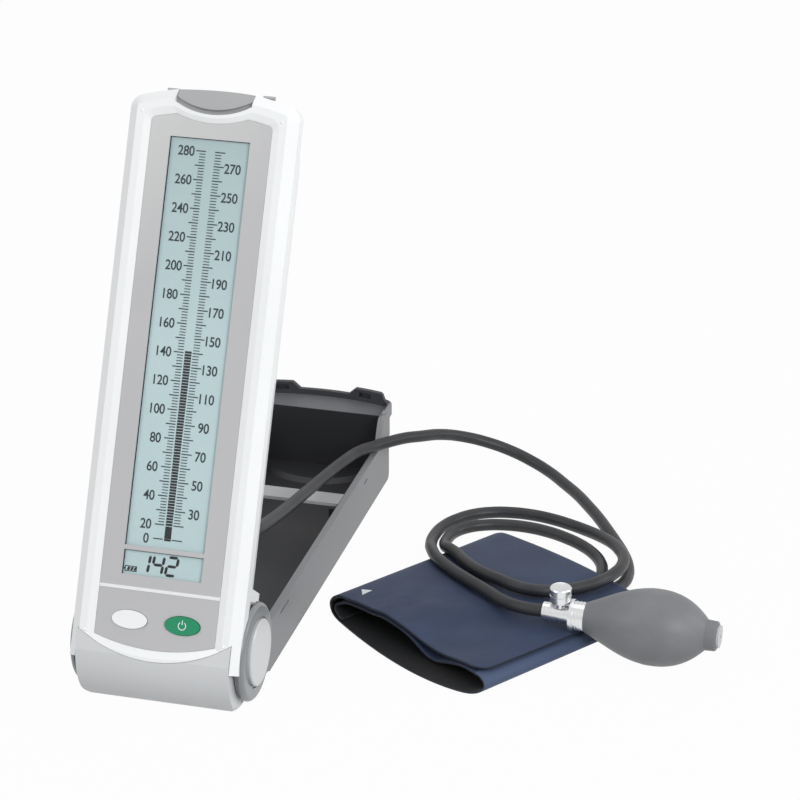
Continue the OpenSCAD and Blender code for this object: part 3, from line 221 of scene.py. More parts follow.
def rubber(name, base, roughness, bloom, scale=2.0):
    # Moulded or drawn rubber: dull, with faint pale bloom and shallow uneven skin
    material, shader = newMaterial(name, {"Roughness": roughness, "IOR": 1.52, "Specular IOR Level": 0.35})
    place = addNode(material, "ShaderNodeTexCoord")
    skin = addNode(material, "ShaderNodeTexNoise", {"Scale": 1000 / scale, "Detail": 4.0, "Roughness": 0.6},
                   {"Vector": place.outputs["Object"]})
    dust = addNode(material, "ShaderNodeTexNoise", {"Scale": 1000 / 18, "Detail": 3.0},
                   {"Vector": place.outputs["Object"]})
    fade = addNode(material, "ShaderNodeMapRange", {"From Min": 0.42, "From Max": 0.75},
                   {"Value": dust.outputs["Fac"]})
    tone = addNode(material, "ShaderNodeMix", {"data_type": "RGBA"}, {"Factor": fade.outputs[0]})
    tone.inputs[6].default_value = colour(base)
    tone.inputs[7].default_value = colour(bloom)
    join(material, tone.outputs[2], shader.inputs["Base Color"])
    bump = addNode(material, "ShaderNodeBump", {"Strength": 0.4, "Distance": 0.00003},
                   {"Height": skin.outputs["Fac"]})
    join(material, bump.outputs["Normal"], shader.inputs["Normal"])
    return material


hoseRubber = rubber("blackHoseRubber", "#2F3033", 0.42, "#3A3B3E")
bulbRubber = rubber("greyBulbPvc", "#77797C", 0.46, "#7E8083", 1.2)
padRubber = rubber("darkPadRubber", "#3A3B3D", 0.6, "#434447")


def platedMetal(name, base, roughness, line):
    # Nickel-plated brass: bright, with fine turning lines from the lathe
    material, shader = newMaterial(name, {"Metallic": 1.0, "Roughness": roughness})
    place = addNode(material, "ShaderNodeTexCoord")
    spread = addNode(material, "ShaderNodeMapping", {"Scale": (1000 / line, 60.0, 60.0)},
                     {"Vector": place.outputs["Object"]})
    lines = addNode(material, "ShaderNodeTexNoise", {"Scale": 1.0, "Detail": 3.0},
                    {"Vector": spread.outputs[0]})
    tone = addNode(material, "ShaderNodeMix", {"data_type": "RGBA"}, {"Factor": lines.outputs["Fac"]})
    tone.inputs[6].default_value = colour(base)
    tone.inputs[7].default_value = tuple(min(1.0, c * 1.1) for c in colour(base)[:3]) + (1.0,)
    join(material, tone.outputs[2], shader.inputs["Base Color"])
    rough = addNode(material, "ShaderNodeMapRange", {"To Min": roughness - 0.05, "To Max": roughness + 0.1},
                    {"Value": lines.outputs["Fac"]})
    join(material, rough.outputs[0], shader.inputs["Roughness"])
    return material


plated = platedMetal("platedBrass", "#E2E3E4", 0.24, 0.5)
steel = platedMetal("springSteel", "#B9BBBD", 0.3, 0.4)


def lcdGlass():
    # Liquid-crystal cell with no segment lit: pale blue-green, with painted shade making it darker towards
    # its top end
    material, shader = newMaterial("displayCell", {"Roughness": 0.35, "IOR": 1.5})
    place = addNode(material, "ShaderNodeTexCoord")
    drift = addNode(material, "ShaderNodeTexNoise", {"Scale": 1000 / 90, "Detail": 1.0},
                    {"Vector": place.outputs["Object"]})
    tone = addNode(material, "ShaderNodeMix", {"data_type": "RGBA"}, {"Factor": drift.outputs["Fac"]})
    tone.inputs[6].default_value = colour("#CBE4E7")
    tone.inputs[7].default_value = colour("#D3EAED")
    rise = addNode(material, "ShaderNodeSeparateXYZ", None, {"Vector": place.outputs["Object"]})
    shade = addNode(material, "ShaderNodeMapRange",
                    {"From Min": 0.19, "From Max": 0.285, "To Min": 1.0, "To Max": 0.84},
                    {"Value": rise.outputs["Z"]})
    cell = addNode(material, "ShaderNodeVectorMath", {"operation": "SCALE"},
                   {0: tone.outputs[2], "Scale": shade.outputs[0]})
    join(material, cell.outputs[0], shader.inputs["Base Color"])
    return material


def clearSheet():
    # Clear polished acrylic, seen only by its gloss
    return newMaterial("clearAcrylic", {"Base Color": colour("#101416"), "Roughness": 0.08, "IOR": 1.49,
                                        "Alpha": 0.05})[0]


def flatInk(name, base, roughness=0.5):
    # Printed or switched-on marks, and painted shadow: one dense colour with a trace of unevenness
    material, shader = newMaterial(name, {"Roughness": roughness, "IOR": 1.5})
    place = addNode(material, "ShaderNodeTexCoord")
    speck = addNode(material, "ShaderNodeTexNoise", {"Scale": 1000 / 1.5},
                    {"Vector": place.outputs["Object"]})
    tone = addNode(material, "ShaderNodeMix", {"data_type": "RGBA"}, {"Factor": speck.outputs["Fac"]})
    tone.inputs[6].default_value = colour(base)
    tone.inputs[7].default_value = tuple(c * 1.12 for c in colour(base)[:3]) + (1.0,)
    join(material, tone.outputs[2], shader.inputs["Base Color"])
    return material


displayCell = lcdGlass()
clearAcrylic = clearSheet()
scaleInk = flatInk("scaleInk", "#36404A")
columnInk = flatInk("columnInk", "#2A2B31")
whiteInk = flatInk("whiteInk", "#E8ECEE")
# Painted shadow: dark ink for the shade at the display windows' edges
paintedShadowInk = flatInk("paintedShadowInk", "#39414F")
boardGreen = flatInk("boardLacquer", "#2E6B4A", 0.3)
cellJacket = flatInk("cellJacket", "#5F6468", 0.3)


def wovenNylon(name, base, light, thread):
    # Plain-woven nylon with a urethane back: crossing threads give a fine weave and a soft sheen.
    # The real threads are finer, and are drawn as coarse as they need to show
    material, shader = newMaterial(name, {"Roughness": 0.62, "IOR": 1.5, "Specular IOR Level": 0.35,
                                          "Sheen Weight": 0.1, "Sheen Roughness": 0.4})
    bands = 1000 / thread / 6.2832 * 3.14
    place = addNode(material, "ShaderNodeUVMap", {"uv_map": "cloth"})
    warp = addNode(material, "ShaderNodeTexWave", {"Scale": bands, "bands_direction": "X"},
                   {"Vector": place.outputs["UV"]})
    weft = addNode(material, "ShaderNodeTexWave", {"Scale": bands, "bands_direction": "Y"},
                   {"Vector": place.outputs["UV"]})
    weave = addNode(material, "ShaderNodeMath", {"operation": "MULTIPLY"},
                    {0: warp.outputs["Fac"], 1: weft.outputs["Fac"]})
    worn = addNode(material, "ShaderNodeTexNoise", {"Scale": 1000 / 35, "Detail": 5.0, "Roughness": 0.6},
                   {"Vector": place.outputs["UV"]})
    shade = addNode(material, "ShaderNodeMapRange", {"From Min": 0.35, "From Max": 0.7},
                    {"Value": worn.outputs["Fac"]})
    tone = addNode(material, "ShaderNodeMix", {"data_type": "RGBA"}, {"Factor": shade.outputs[0]})
    tone.inputs[6].default_value = colour(base)
    tone.inputs[7].default_value = colour(light)
    thin = addNode(material, "ShaderNodeMapRange", {"To Min": 0.86, "To Max": 1.04},
                   {"Value": weave.outputs[0]})
    cloth = addNode(material, "ShaderNodeVectorMath", {"operation": "SCALE"},
                    {0: tone.outputs[2], "Scale": thin.outputs[0]})
    join(material, cloth.outputs[0], shader.inputs["Base Color"])
    bump = addNode(material, "ShaderNodeBump", {"Strength": 0.5, "Distance": 0.00012},
                   {"Height": weave.outputs[0]})
    join(material, bump.outputs["Normal"], shader.inputs["Normal"])
    return material


navyNylon = wovenNylon("navyWovenNylon", "#2B3854", "#364563", 0.8)
linerNylon = wovenNylon("blackLinerNylon", "#090A0E", "#0E1014", 0.8)
bindingTape = wovenNylon("bindingTape", "#1B1F29", "#252A36", 1.1)

# A plain white triangle near the flap's front left corner: what lies within reach of its spot on three sides
indexMark = {"spot": (0.1113, 0.0137), "reach": 0.0022, "sides": ((0.42, 0.91), (0.62, -0.78), (-0.99, 0.12))}
markSides = [((x, y, 0), -1, x * indexMark["spot"][0] + y * indexMark["spot"][1] + indexMark["reach"], False)
             for x, y in indexMark["sides"]]
overpaint(navyNylon, positionMask(navyNylon, markSides, "UV"), "#E4E7EA")

finishes = {
    whiteAbs: ["front_bezel", "rear_shell", "battery_cover"],
    footAbs: ["foot_cover"],
    panelPlate: ["face_panel"],
    latchAbs: ["latch_button", "latch_bar", "cuff_retainer"],
    trayAbs: ["base_tray"],
    ringAbs: ["hub_ring_left", "hub_ring_right"],
    capAbs: ["hub_cap_left", "hub_cap_right"],
    buttonWhite: ["mark_button"],
    buttonGreen: ["power_button"],
    plugAbs: ["hose_plug", "air_socket", "key_switches", "cuff_ports"],
    innerAbs: ["lcd_holder", "backlight", "pressure_sensor"],
    intakeAbs: ["bulb_inlet_valve"],
    nylon: ["friction_washers"],
    hoseRubber: ["sensor_tube"],
    padRubber: ["foot_pads", "tray_pads"],
    plated: ["valve_body", "valve_collar", "valve_knob", "valve_needle"],
    steel: ["latch_springs", "battery_contacts", "case_screws", "hinge_pins"],
    displayCell: ["lcd_panel"],
    clearAcrylic: ["lcd_window"],
    boardGreen: ["main_board"],
    cellJacket: ["batteries"],
}
for material, names in finishes.items():
    for name in names:
        paint(name, material)
print("materials: done")

# Camera, fitted to the photograph
view = {"place": (0.4904, -1.5116, 0.8266), "turn": 14.9, "tilt": 24.46, "lens": 133.92}
cameraData = bpy.data.cameras.new("camera")
cameraData.lens = view["lens"]
cameraData.sensor_width = 36.0
cameraData.clip_start = 0.05
camera = bpy.data.objects.new("camera", cameraData)
bpy.context.scene.collection.objects.link(camera)
camera.location = view["place"]
camera.rotation_euler = (math.radians(90 - view["tilt"]), 0.0, math.radians(view["turn"]))
bpy.context.scene.camera = camera

# Hoses: the points repeat the solids' routes, in metres
gaugeHose = {
    "diameter": 0.0072,
    "length": 0.528,
    "stillFrom": (0.0246, -0.040, 0.0596),  # from here on it lies still when the display folds
    "points": [
        (0.022, -0.1166, 0.07115), (0.022, -0.1094, 0.0677), (0.0223, -0.099, 0.0646),
        (0.0232, -0.0865, 0.062), (0.0246, -0.073, 0.0596), (0.0256, -0.048, 0.054), (0.0266, -0.022, 0.049),
        (0.0284, 0.008, 0.0446), (0.031, 0.038, 0.041), (0.0346, 0.066, 0.0382), (0.0394, 0.088, 0.0362),
        (0.0452, 0.101, 0.0342), (0.052, 0.109, 0.0342), (0.0595, 0.1165, 0.0342), (0.0675, 0.127, 0.0318),
        (0.077, 0.142, 0.0274), (0.089, 0.1545, 0.0216), (0.1035, 0.1615, 0.016), (0.118, 0.1636, 0.011),
        (0.132, 0.161, 0.0068), (0.146, 0.1525, 0.0044), (0.158, 0.14, 0.0038), (0.169, 0.127, 0.0038),
        (0.1785, 0.1135, 0.0038), (0.188, 0.099, 0.0038), (0.197, 0.0835, 0.0038), (0.205, 0.069, 0.0038),
        (0.212, 0.0555, 0.0038), (0.2174, 0.0415, 0.0038), (0.22, 0.028, 0.0042), (0.2194, 0.0166, 0.0049),
        (0.215, 0.0065, 0.005)],
}
bulbHose = {
    "diameter": 0.0072,
    "length": 0.68,
    "points": [
        (0.1875, -0.0593, 0.022), (0.176, -0.0584, 0.0218), (0.1637, -0.0525, 0.021),
        (0.1506, -0.0421, 0.0209), (0.1362, -0.0301, 0.0202), (0.1223, -0.0157, 0.0183),
        (0.1123, -0.0031, 0.0167), (0.1049, 0.0122, 0.0134), (0.0994, 0.0307, 0.0086),
        (0.0977, 0.0463, 0.0062), (0.099, 0.061, 0.0046), (0.1042, 0.0738, 0.0038), (0.1125, 0.0832, 0.0038),
        (0.1226, 0.089, 0.0038), (0.1345, 0.092, 0.0038), (0.148, 0.0922, 0.0038), (0.1615, 0.0896, 0.0038),
        (0.1736, 0.085, 0.0039), (0.1847, 0.0782, 0.0048), (0.1958, 0.0677, 0.0072),
        (0.2056, 0.0545, 0.0104), (0.2125, 0.0415, 0.013), (0.217, 0.0291, 0.0148), (0.2181, 0.0175, 0.0158),
        (0.2163, 0.0048, 0.0172), (0.2112, -0.0078, 0.018), (0.2027, -0.0175, 0.0179),
        (0.1929, -0.0254, 0.0187), (0.1801, -0.0318, 0.0194), (0.1674, -0.0317, 0.0201),
        (0.1543, -0.0258, 0.0202), (0.1419, -0.0179, 0.0195), (0.13, -0.0057, 0.018),
        (0.1206, 0.0074, 0.0164), (0.1141, 0.0152, 0.0148), (0.1093, 0.0264, 0.0101),
        (0.1056, 0.0456, 0.0046), (0.1074, 0.0572, 0.0038), (0.1136, 0.0656, 0.0038),
        (0.1224, 0.0712, 0.0038), (0.134, 0.0746, 0.0038), (0.148, 0.0752, 0.0038), (0.162, 0.0724, 0.0038),
        (0.1746, 0.067, 0.0038), (0.186, 0.0596, 0.0038), (0.195, 0.0506, 0.0038), (0.201, 0.0406, 0.004),
        (0.2042, 0.03, 0.005), (0.2054, 0.021, 0.0055), (0.2046, 0.0132, 0.0055)],
}


def hoseCurve(name, facts):
    data = bpy.data.curves.new(name, "CURVE")
    data.dimensions = "3D"
    data.resolution_u = 6
    data.bevel_depth = facts["diameter"] / 2
    data.bevel_resolution = 6
    data.use_fill_caps = True
    spline = data.splines.new("BEZIER")
    spline.bezier_points.add(len(facts["points"]) - 1)
    for point, place in zip(spline.bezier_points, facts["points"]):
        point.co = place
        point.handle_left_type = point.handle_right_type = "AUTO"
    data.materials.append(hoseRubber)
    obj = bpy.data.objects.new(name, data)
    bpy.context.scene.collection.objects.link(obj)
    return obj


def curveToMesh(curve, name):
    bpy.context.view_layer.update()
    mesh = bpy.data.meshes.new_from_object(curve.evaluated_get(bpy.context.evaluated_depsgraph_get()))
    mesh.name = name
    obj = bpy.data.objects.new(name, mesh)
    bpy.context.scene.collection.objects.link(obj)
    bpy.data.objects.remove(curve)
    return obj


def centreline(points, steps=6):
    # Samples the smooth line that the curve follows
    fine = []
    for i in range(len(points) - 1):
        a, b = Vector(points[i]), Vector(points[i + 1])
        before = Vector(points[max(i - 1, 0)])
        after = Vector(points[min(i + 2, len(points) - 1)])
        reach = (b - a).length / 3
        outOf = (b - before).normalized() * reach
        into = (after - a).normalized() * reach
        fine += [bezier(a, a + outOf, b - into, b, k / steps) for k in range(steps)]
    return fine + [Vector(points[-1])]


def lengthOf(line):
    return sum((b - a).length for a, b in zip(line, line[1:]))


gaugeLine = centreline(gaugeHose["points"])
bulbLine = centreline(bulbHose["points"])
gaugeTube = curveToMesh(hoseCurve("gaugeCurve", gaugeHose), "gaugeHose")
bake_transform(gaugeTube)
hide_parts("hose_lead", "cuff_hose")
bulbTube = hoseCurve("bulbHose", bulbHose)
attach(bulbTube, "base")
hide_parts("bulb_hose")
print("hoses: done, measured", lengthOf(gaugeLine), lengthOf(bulbLine))

# Display marks: everything is counted across and up in the display's frame, in metres
scale = {
    "depth": 0.02972, "thick": 0.00006, "top": 280, "atTwenty": 0.0641, "perUnit": 0.0007815, "zero": 0.0563,
    "leftLong": (-0.0076, -0.0021), "leftShort": (-0.0056, -0.0022),
    "rightLong": (0.0031, 0.0089), "rightShort": (0.0032, 0.0068),
    "tickHigh": 0.0005, "tensThicker": 1.25, "numberHigh": 0.0052, "reading": 142,
    "column": (-0.0013, 0.0025), "columnHalf": 0.00062,
    "leftNumbers": {1: -0.0116, 2: -0.0126, 3: -0.0132}, "rightNumbers": 0.0139,
}


def heightOf(value):
    return scale["zero"] if value == 0 else scale["atTwenty"] + (value - 20) * scale["perUnit"]


def markBar(bm, left, right, low, high):
    slab = bmesh.ops.create_cube(bm, size=1.0)["verts"]
    bmesh.ops.scale(bm, verts=slab, vec=(right - left, scale["thick"], high - low))
    middle = ((left + right) / 2, -scale["depth"] - scale["thick"] / 2, (low + high) / 2)
    bmesh.ops.translate(bm, verts=slab, vec=middle)


def tick(bm, span, value, thick=1.0):
    half = scale["tickHigh"] / 2 * thick
    markBar(bm, span[0], span[1], heightOf(value) - half, heightOf(value) + half)


ticks = bmesh.new()
for value in range(20, scale["top"] + 1, 2):
    tens = value % 10 == 0
    for side in ("left", "right"):
        tick(ticks, scale[side + ("Long" if tens else "Short")], value, scale["tensThicker"] if tens else 1.0)
for side in ("left", "right"):
    tick(ticks, scale[side + "Long"], 0, scale["tensThicker"])
ticks.transform(displayPlace)
tickMarks = meshObject(ticks, "scaleTicks", scaleInk)

column = bmesh.new()
markBar(column, *scale["column"], heightOf(0) - 0.0008, heightOf(0) + 0.0003)
markBar(column, *scale["column"], heightOf(0) + 0.00042, heightOf(20) - 0.0007)
for value in range(20, scale["reading"], 2):
    middle = heightOf(value + 0.4)
    markBar(column, *scale["column"], middle - scale["columnHalf"], middle + scale["columnHalf"])
column.transform(displayPlace)
columnMarks = meshObject(column, "pressureColumn", columnInk)


def numberMesh(bm, text, across, up, high):
    data = bpy.data.curves.new("number", "FONT")
    data.body = text
    data.size = high / 0.69
    data.align_x = "CENTER"
    data.align_y = "CENTER"
    data.extrude = scale["thick"] / 2
    data.space_character = 0.98
    data.offset = 0.00011
    letter = bpy.data.objects.new("number", data)
    bpy.context.scene.collection.objects.link(letter)
    bpy.context.view_layer.update()
    mesh = bpy.data.meshes.new_from_object(letter.evaluated_get(bpy.context.evaluated_depsgraph_get()))
    middle = sum((Vector(c) for c in letter.bound_box), Vector()) / 8
    mesh.transform(Matrix.Translation((across, -scale["depth"] - scale["thick"] / 2, up))
                   @ Matrix.Rotation(math.pi / 2, 4, "X") @ Matrix.Diagonal((0.86, 1, 1, 1))
                   @ Matrix.Translation(-middle))
    bm.from_mesh(mesh)
    bpy.data.objects.remove(letter)
    bpy.data.meshes.remove(mesh)


numbers = bmesh.new()
for value in range(0, scale["top"] + 1, 20):
    across = scale["leftNumbers"][len(str(value))]
    numberMesh(numbers, str(value), across, heightOf(value) - 0.0003, scale["numberHigh"])
for value in range(30, scale["top"], 20):
    numberMesh(numbers, str(value), scale["rightNumbers"], heightOf(value) - 0.0006, scale["numberHigh"])
numbers.transform(displayPlace)
numberMarks = meshObject(numbers, "scaleNumbers", scaleInk)

digits = {"low": 0.0372, "high": 0.0098, "wide": 0.0056, "pitch": 0.0079, "first": -0.01435, "slant": 0.11,
          "bar": 0.00155, "gap": 0.0002}
segments = {"1": "bc", "4": "fgbc", "2": "abged"}


def digitSegment(bm, corner, name):
    wide, high, bar = digits["wide"], digits["high"], digits["bar"]
    across, up, lying = {"a": (0, 1, True), "g": (0, 0.5, True), "d": (0, 0, True), "f": (0, 0.75, False),
                         "b": (1, 0.75, False), "e": (0, 0.25, False), "c": (1, 0.25, False)}[name]
    reach = (wide if lying else high / 2) / 2 - digits["gap"]
    corners = bmesh.ops.create_circle(bm, cap_ends=True, segments=6, radius=1.0)["verts"]
    for v in corners:
        tip = abs(v.co.x) < 0.1
        v.co.y = math.copysign(reach if tip else reach - bar / 2, v.co.y)
        v.co.x = 0 if tip else math.copysign(bar / 2, v.co.x)
        along, off = (v.co.y, v.co.x) if lying else (v.co.x, v.co.y)
        height = up * high + off
        v.co = (corner + across * wide + (wide / 2 if lying else 0) + along + height * digits["slant"],
                -scale["depth"] - scale["thick"], digits["low"] + height)


reading = bmesh.new()
for place, figure in enumerate(str(scale["reading"])):
    for name in segments[figure]:
        digitSegment(reading, digits["first"] + place * digits["pitch"], name)

# Battery mark: an outlined cell with a nub at its left end and three slanted bars
battery = {"left": -0.0216, "right": -0.0148, "low": 0.0369, "high": 0.0400, "line": 0.00042, "nub": 0.0006,
           "firstBar": 0.0009, "barPitch": 0.0019, "barWide": 0.0014, "barSlant": 0.35}
left, right, low, high = (battery[edge] for edge in ("left", "right", "low", "high"))
markBar(reading, left, right, low, low + battery["line"])
markBar(reading, left, right, high - battery["line"], high)
markBar(reading, left, left + battery["line"], low, high)
markBar(reading, right - battery["line"], right, low, high)
markBar(reading, left - battery["nub"], left, low + 0.001, high - 0.001)
for bar in range(3):
    before = len(reading.verts)
    start = left + battery["firstBar"] + bar * battery["barPitch"]
    markBar(reading, start, start + battery["barWide"], low + 0.0006, high - 0.0006)
    reading.verts.ensure_lookup_table()
    for v in reading.verts[before:]:
        v.co.x += (v.co.z - low) * battery["barSlant"]
reading.transform(displayPlace)
readingMarks = meshObject(reading, "digitReading", columnInk)

# Painted shadow: a dark band on the cell round each window, standing in for the shade at the windows' edges,
# seen past the panel's left and top edges
cellEdgeShadow = {"windows": ((0.0513, 0.2740), (0.0356, 0.0487)), "inner": 0.0223, "outer": 0.0234,
              "past": 0.0006}
edgeShadow = bmesh.new()
for low, high in cellEdgeShadow["windows"]:
    for side in (-1, 1):
        markBar(edgeShadow, *sorted((side * cellEdgeShadow["inner"], side * cellEdgeShadow["outer"])),
                low - cellEdgeShadow["past"], high + cellEdgeShadow["past"])
    markBar(edgeShadow, -cellEdgeShadow["outer"], cellEdgeShadow["outer"], high - 0.0003, high + cellEdgeShadow["past"])
edgeShadow.transform(displayPlace)
edgeShadowMark = meshObject(edgeShadow, "cellEdgeShadow", paintedShadowInk)

# Power sign on the green button: a broken ring with a stroke through the gap
powerSign = {"across": 0.015, "up": 0.0113, "radius": 0.0021, "line": 0.00045, "depth": 0.0324,
             "thick": 0.00006, "open": 70}


def brokenRing():
    sign = bmesh.new()
    start = sign.verts.new((powerSign["radius"] - powerSign["line"] / 2, 0, 0))
    end = sign.verts.new((powerSign["radius"] + powerSign["line"] / 2, 0, 0))
    bar = sign.edges.new((start, end))
    bmesh.ops.rotate(sign, verts=[start, end], cent=(0, 0, 0),
                     matrix=Matrix.Rotation(math.radians(90 + powerSign["open"] / 2), 3, "Z"))
    bmesh.ops.spin(sign, geom=[start, end, bar], cent=(0, 0, 0), axis=(0, 0, 1),
                   angle=math.radians(360 - powerSign["open"]), steps=28)
    stroke = bmesh.ops.create_grid(sign, x_segments=1, y_segments=1, size=0.5)["verts"]
    bmesh.ops.scale(sign, verts=stroke, vec=(powerSign["line"], powerSign["radius"] * 1.15, 1))
    bmesh.ops.translate(sign, verts=stroke, vec=(0, powerSign["radius"] * 0.85, 0))
    solid = bmesh.ops.extrude_face_region(sign, geom=sign.faces[:])["geom"]
    raised = [part for part in solid if isinstance(part, bmesh.types.BMVert)]
    bmesh.ops.translate(sign, verts=raised, vec=(0, 0, powerSign["thick"]))
    onButton = Matrix.Translation((powerSign["across"], -powerSign["depth"], powerSign["up"]))
    sign.transform(displayPlace @ onButton @ Matrix.Rotation(math.pi / 2, 4, "X"))
    return meshObject(sign, "powerSign", whiteInk)


powerMark = brokenRing()
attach(powerMark, "power_key")
for piece in (tickMarks, columnMarks, numberMarks, readingMarks, edgeShadowMark):
    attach(piece, "display")
print("display marks: done")

# Small moulded pips in the rim's corners, set where a line from the front meets the shell
pip = {"across": 0.0395, "low": 0.0028, "high": 0.2862, "radius": 0.0007}


def rimPips():
    pips = bmesh.new()
    backwards = displayPlace.to_3x3() @ Vector((0, 1, 0))
    for across in (-pip["across"], pip["across"]):
        for up in (pip["low"], pip["high"]):
            eye = displayPlace @ Vector((across, -0.08, up))
            found, spot = nodes["front_bezel"].ray_cast(eye, backwards)[:2]
            if found:
                dome = bmesh.ops.create_uvsphere(pips, u_segments=16, v_segments=8, radius=pip["radius"])
                bmesh.ops.translate(pips, verts=dome["verts"], vec=spot)
    return meshObject(pips, "rimPips", buttonWhite, 60)


pipPieces = rimPips()
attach(pipPieces, "display")

# Inflation bulb: an egg shape spun round the line from the valve
bulb = {"start": (0.2124, -0.0604, 0.022), "turn": -2.5, "long": 0.074, "radius": 0.0217, "neck": 0.0085,
        "steps": 96, "parting": 0.00022}


def spunBulb():
    side = bmesh.new()
    long, fat, neck = bulb["long"], bulb["radius"], bulb["neck"]
    first = [Vector((0, 0, neck)), Vector((0.014, 0, neck + 0.006)), Vector((long * 0.55 - 0.016, 0, fat)),
             Vector((long * 0.55, 0, fat))]
    second = [first[3], Vector((long * 0.55 + 0.015, 0, fat)),
              Vector((long * 0.935 - 0.005, 0, neck + 0.0056)), Vector((long * 0.935, 0, neck + 0.0002))]
    outline = [Vector((0.0, 0, 0.0066))]
    outline += [bezier(*first, i / 20) for i in range(21)]
    outline += [bezier(*second, i / 20) for i in range(1, 21)]
    outline += [Vector((long + 0.0009, 0, neck - 0.0001)), Vector((long + 0.0015, 0, neck - 0.0007)),
                Vector((long + 0.0015, 0, 0.0063))]
    ring = [side.verts.new(p) for p in outline]
    edges = [side.edges.new(pair) for pair in zip(ring, ring[1:])]
    bmesh.ops.spin(side, geom=ring + edges, cent=(0, 0, 0), axis=(1, 0, 0), angle=2 * math.pi,
                   steps=bulb["steps"], use_merge=True)
    for v in side.verts:
        # A faint raised line runs round the middle, where the two halves of the mould meet
        ridge = math.exp(-((v.co.x - long * 0.5) / 0.0011) ** 2) * bulb["parting"]
        away = Vector((0, v.co.y, v.co.z))
        if away.length > 0.012:
            v.co += away.normalized() * ridge
    side.transform(Matrix.Translation(bulb["start"]) @ Matrix.Rotation(math.radians(bulb["turn"]), 4, "Z"))
    return meshObject(side, "bulbSkin", bulbRubber, 40)


bulbSkin = spunBulb()
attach(bulbSkin, "base")
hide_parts("bulb")
print("bulb: done")

# Valve knob: a plain turned cylinder with a groove round its middle and a shallow dished top
knob = {"place": (0.19761, -0.05975, 0.0), "low": 0.0297, "high": 0.0387, "radius": 0.0062}


def knobSkin():
    low, high, wide = knob["low"], knob["high"], knob["radius"]
    groove = (low + high) / 2
    side = [(0.0012, low), (wide - 0.0006, low), (wide, low + 0.0005), (wide, groove - 0.0002),
            (wide - 0.0004, groove), (wide - 0.0004, groove + 0.0004), (wide, groove + 0.0006),
            (wide, high - 0.0006), (wide - 0.0005, high), (wide - 0.0010, high - 0.0002),
            (0.00002, high - 0.0002)]
    bm = bmesh.new()
    ring = [bm.verts.new((r, 0, z)) for r, z in side]
    edges = [bm.edges.new(pair) for pair in zip(ring, ring[1:])]
    bmesh.ops.spin(bm, geom=ring + edges, cent=(0, 0, 0), axis=(0, 0, 1), angle=2 * math.pi, steps=64,
                   use_merge=True)
    bm.transform(Matrix.Translation(knob["place"]))
    return meshObject(bm, "knobSkin", plated, 30)


knobPiece = knobSkin()
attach(knobPiece, "valve_screw")
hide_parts("valve_knob")
print("knob: done")

# Cuff: one long strip wound twice into a flat roll, drawn as across (t), along (s) and height
cuff = {"corner": (0.060, -0.053), "turn": -32.5, "across": 0.130, "along": 0.132, "high": 0.020,
        "thick": 0.0017, "flapEnd": 0.1255, "cornerRadius": 0.011, "columns": 190, "rows": 44, "bow": 0.0135,
        "foldFrom": 0.121, "flapPoints": 20}


def crown(t):
    # Height of the roll across: low at the left fold, highest two thirds of the way, lower at the right fold
    u = min(max(t / cuff["across"], 0), 1)
    return cuff["high"] * (0.68 + 0.32 * math.sin(min(1, u * 1.5) * math.pi / 2)) * (1 - 0.3 * u ** 3)


def fall(s):
    # The roll lies flatter towards its back
    return 1 - 0.28 * s / cuff["along"]


def bowOut(t, s):
    # The front mouth bulges towards the reader at the lower layer
    u = min(max(t / cuff["across"], 0), 1)
    return cuff["bow"] * math.sqrt(max(0, math.sin(math.pi * u ** 1.5))) * (1 - s / cuff["along"]) ** 2


def lump(t, s, atT, atS, wide, long):
    # A soft bump of height 1 round a place on the roll
    return math.exp(-((t - atT) / wide) ** 2 - ((s - atS) / long) ** 2)


def softRise(t, s):
    # Low folds that run across the top layers, strongest behind the mouth, and the sag at its right
    slant = (t - 0.03) * 0.85 + (s - 0.02) * 0.5
    ripple = 0.0009 * math.sin(slant * 2 * math.pi / 0.019) * lump(t, s, 0.040, 0.016, 0.020, 0.018)
    cross = t * 0.9 - s * 0.45
    ripple += 0.0005 * math.sin(cross * 2 * math.pi / 0.034) * lump(t, s, 0.08, 0.05, 0.04, 0.045)
    return ripple - 0.0060 * lump(t, s, 0.088, 0.0, 0.024, 0.036)


def profile():
    # The wound strip's line at the front mouth: (t, share of the crown, fixed height, share of the bow, dip)
    end = cuff["flapEnd"]
    line = [(end, 1.0, -0.0016, 0, 0), (end - 0.005, 1.0, -0.0013, 0, 0)]
    line += [(end - i * 0.006, 1.0, -0.0009, 0, 0) for i in range(2, cuff["flapPoints"])]
    line += [(0.0068, 0.955, -0.0009, 0, 0), (0.0030, 0.79, -0.0007, 0.2, 0), (0.0009, 0.57, -0.0002, 0.5, 0),
             (0.0010, 0.36, 0.0001, 0.8, 0), (0.0032, 0.17, 0.0004, 1, 0), (0.0070, 0.05, 0.0006, 1, 0)]
    line += [(0.012 + i * 0.0075, 0.0, 0.0009, 1, 0) for i in range(15)]
    line += [(0.1225, 0.01, 0.0009, 1, 0), (0.1264, 0.07, 0.0009, 1, 0), (0.1290, 0.20, 0.0006, 0.8, 0),
             (0.1297, 0.38, 0.0004, 0.5, 0), (0.1282, 0.60, -0.0006, 0.2, 0), (0.1248, 0.79, -0.0020, 0, 0)]
    line += [(0.1195 - i * 0.0075, 0.92 if i == 0 else 0.985, -0.0034, 0, 1) for i in range(15)]
    line += [(0.0105, 0.88, -0.0033, 0, 0), (0.0066, 0.70, -0.0024, 0.2, 0), (0.0052, 0.50, -0.0004, 0.5, 0),
             (0.0066, 0.30, 0.0014, 0.8, 0), (0.0115, 0.12, 0.0023, 1, 0)]
    line += [(0.0165, 0.03, 0.0029, 1, 0)]
    return line


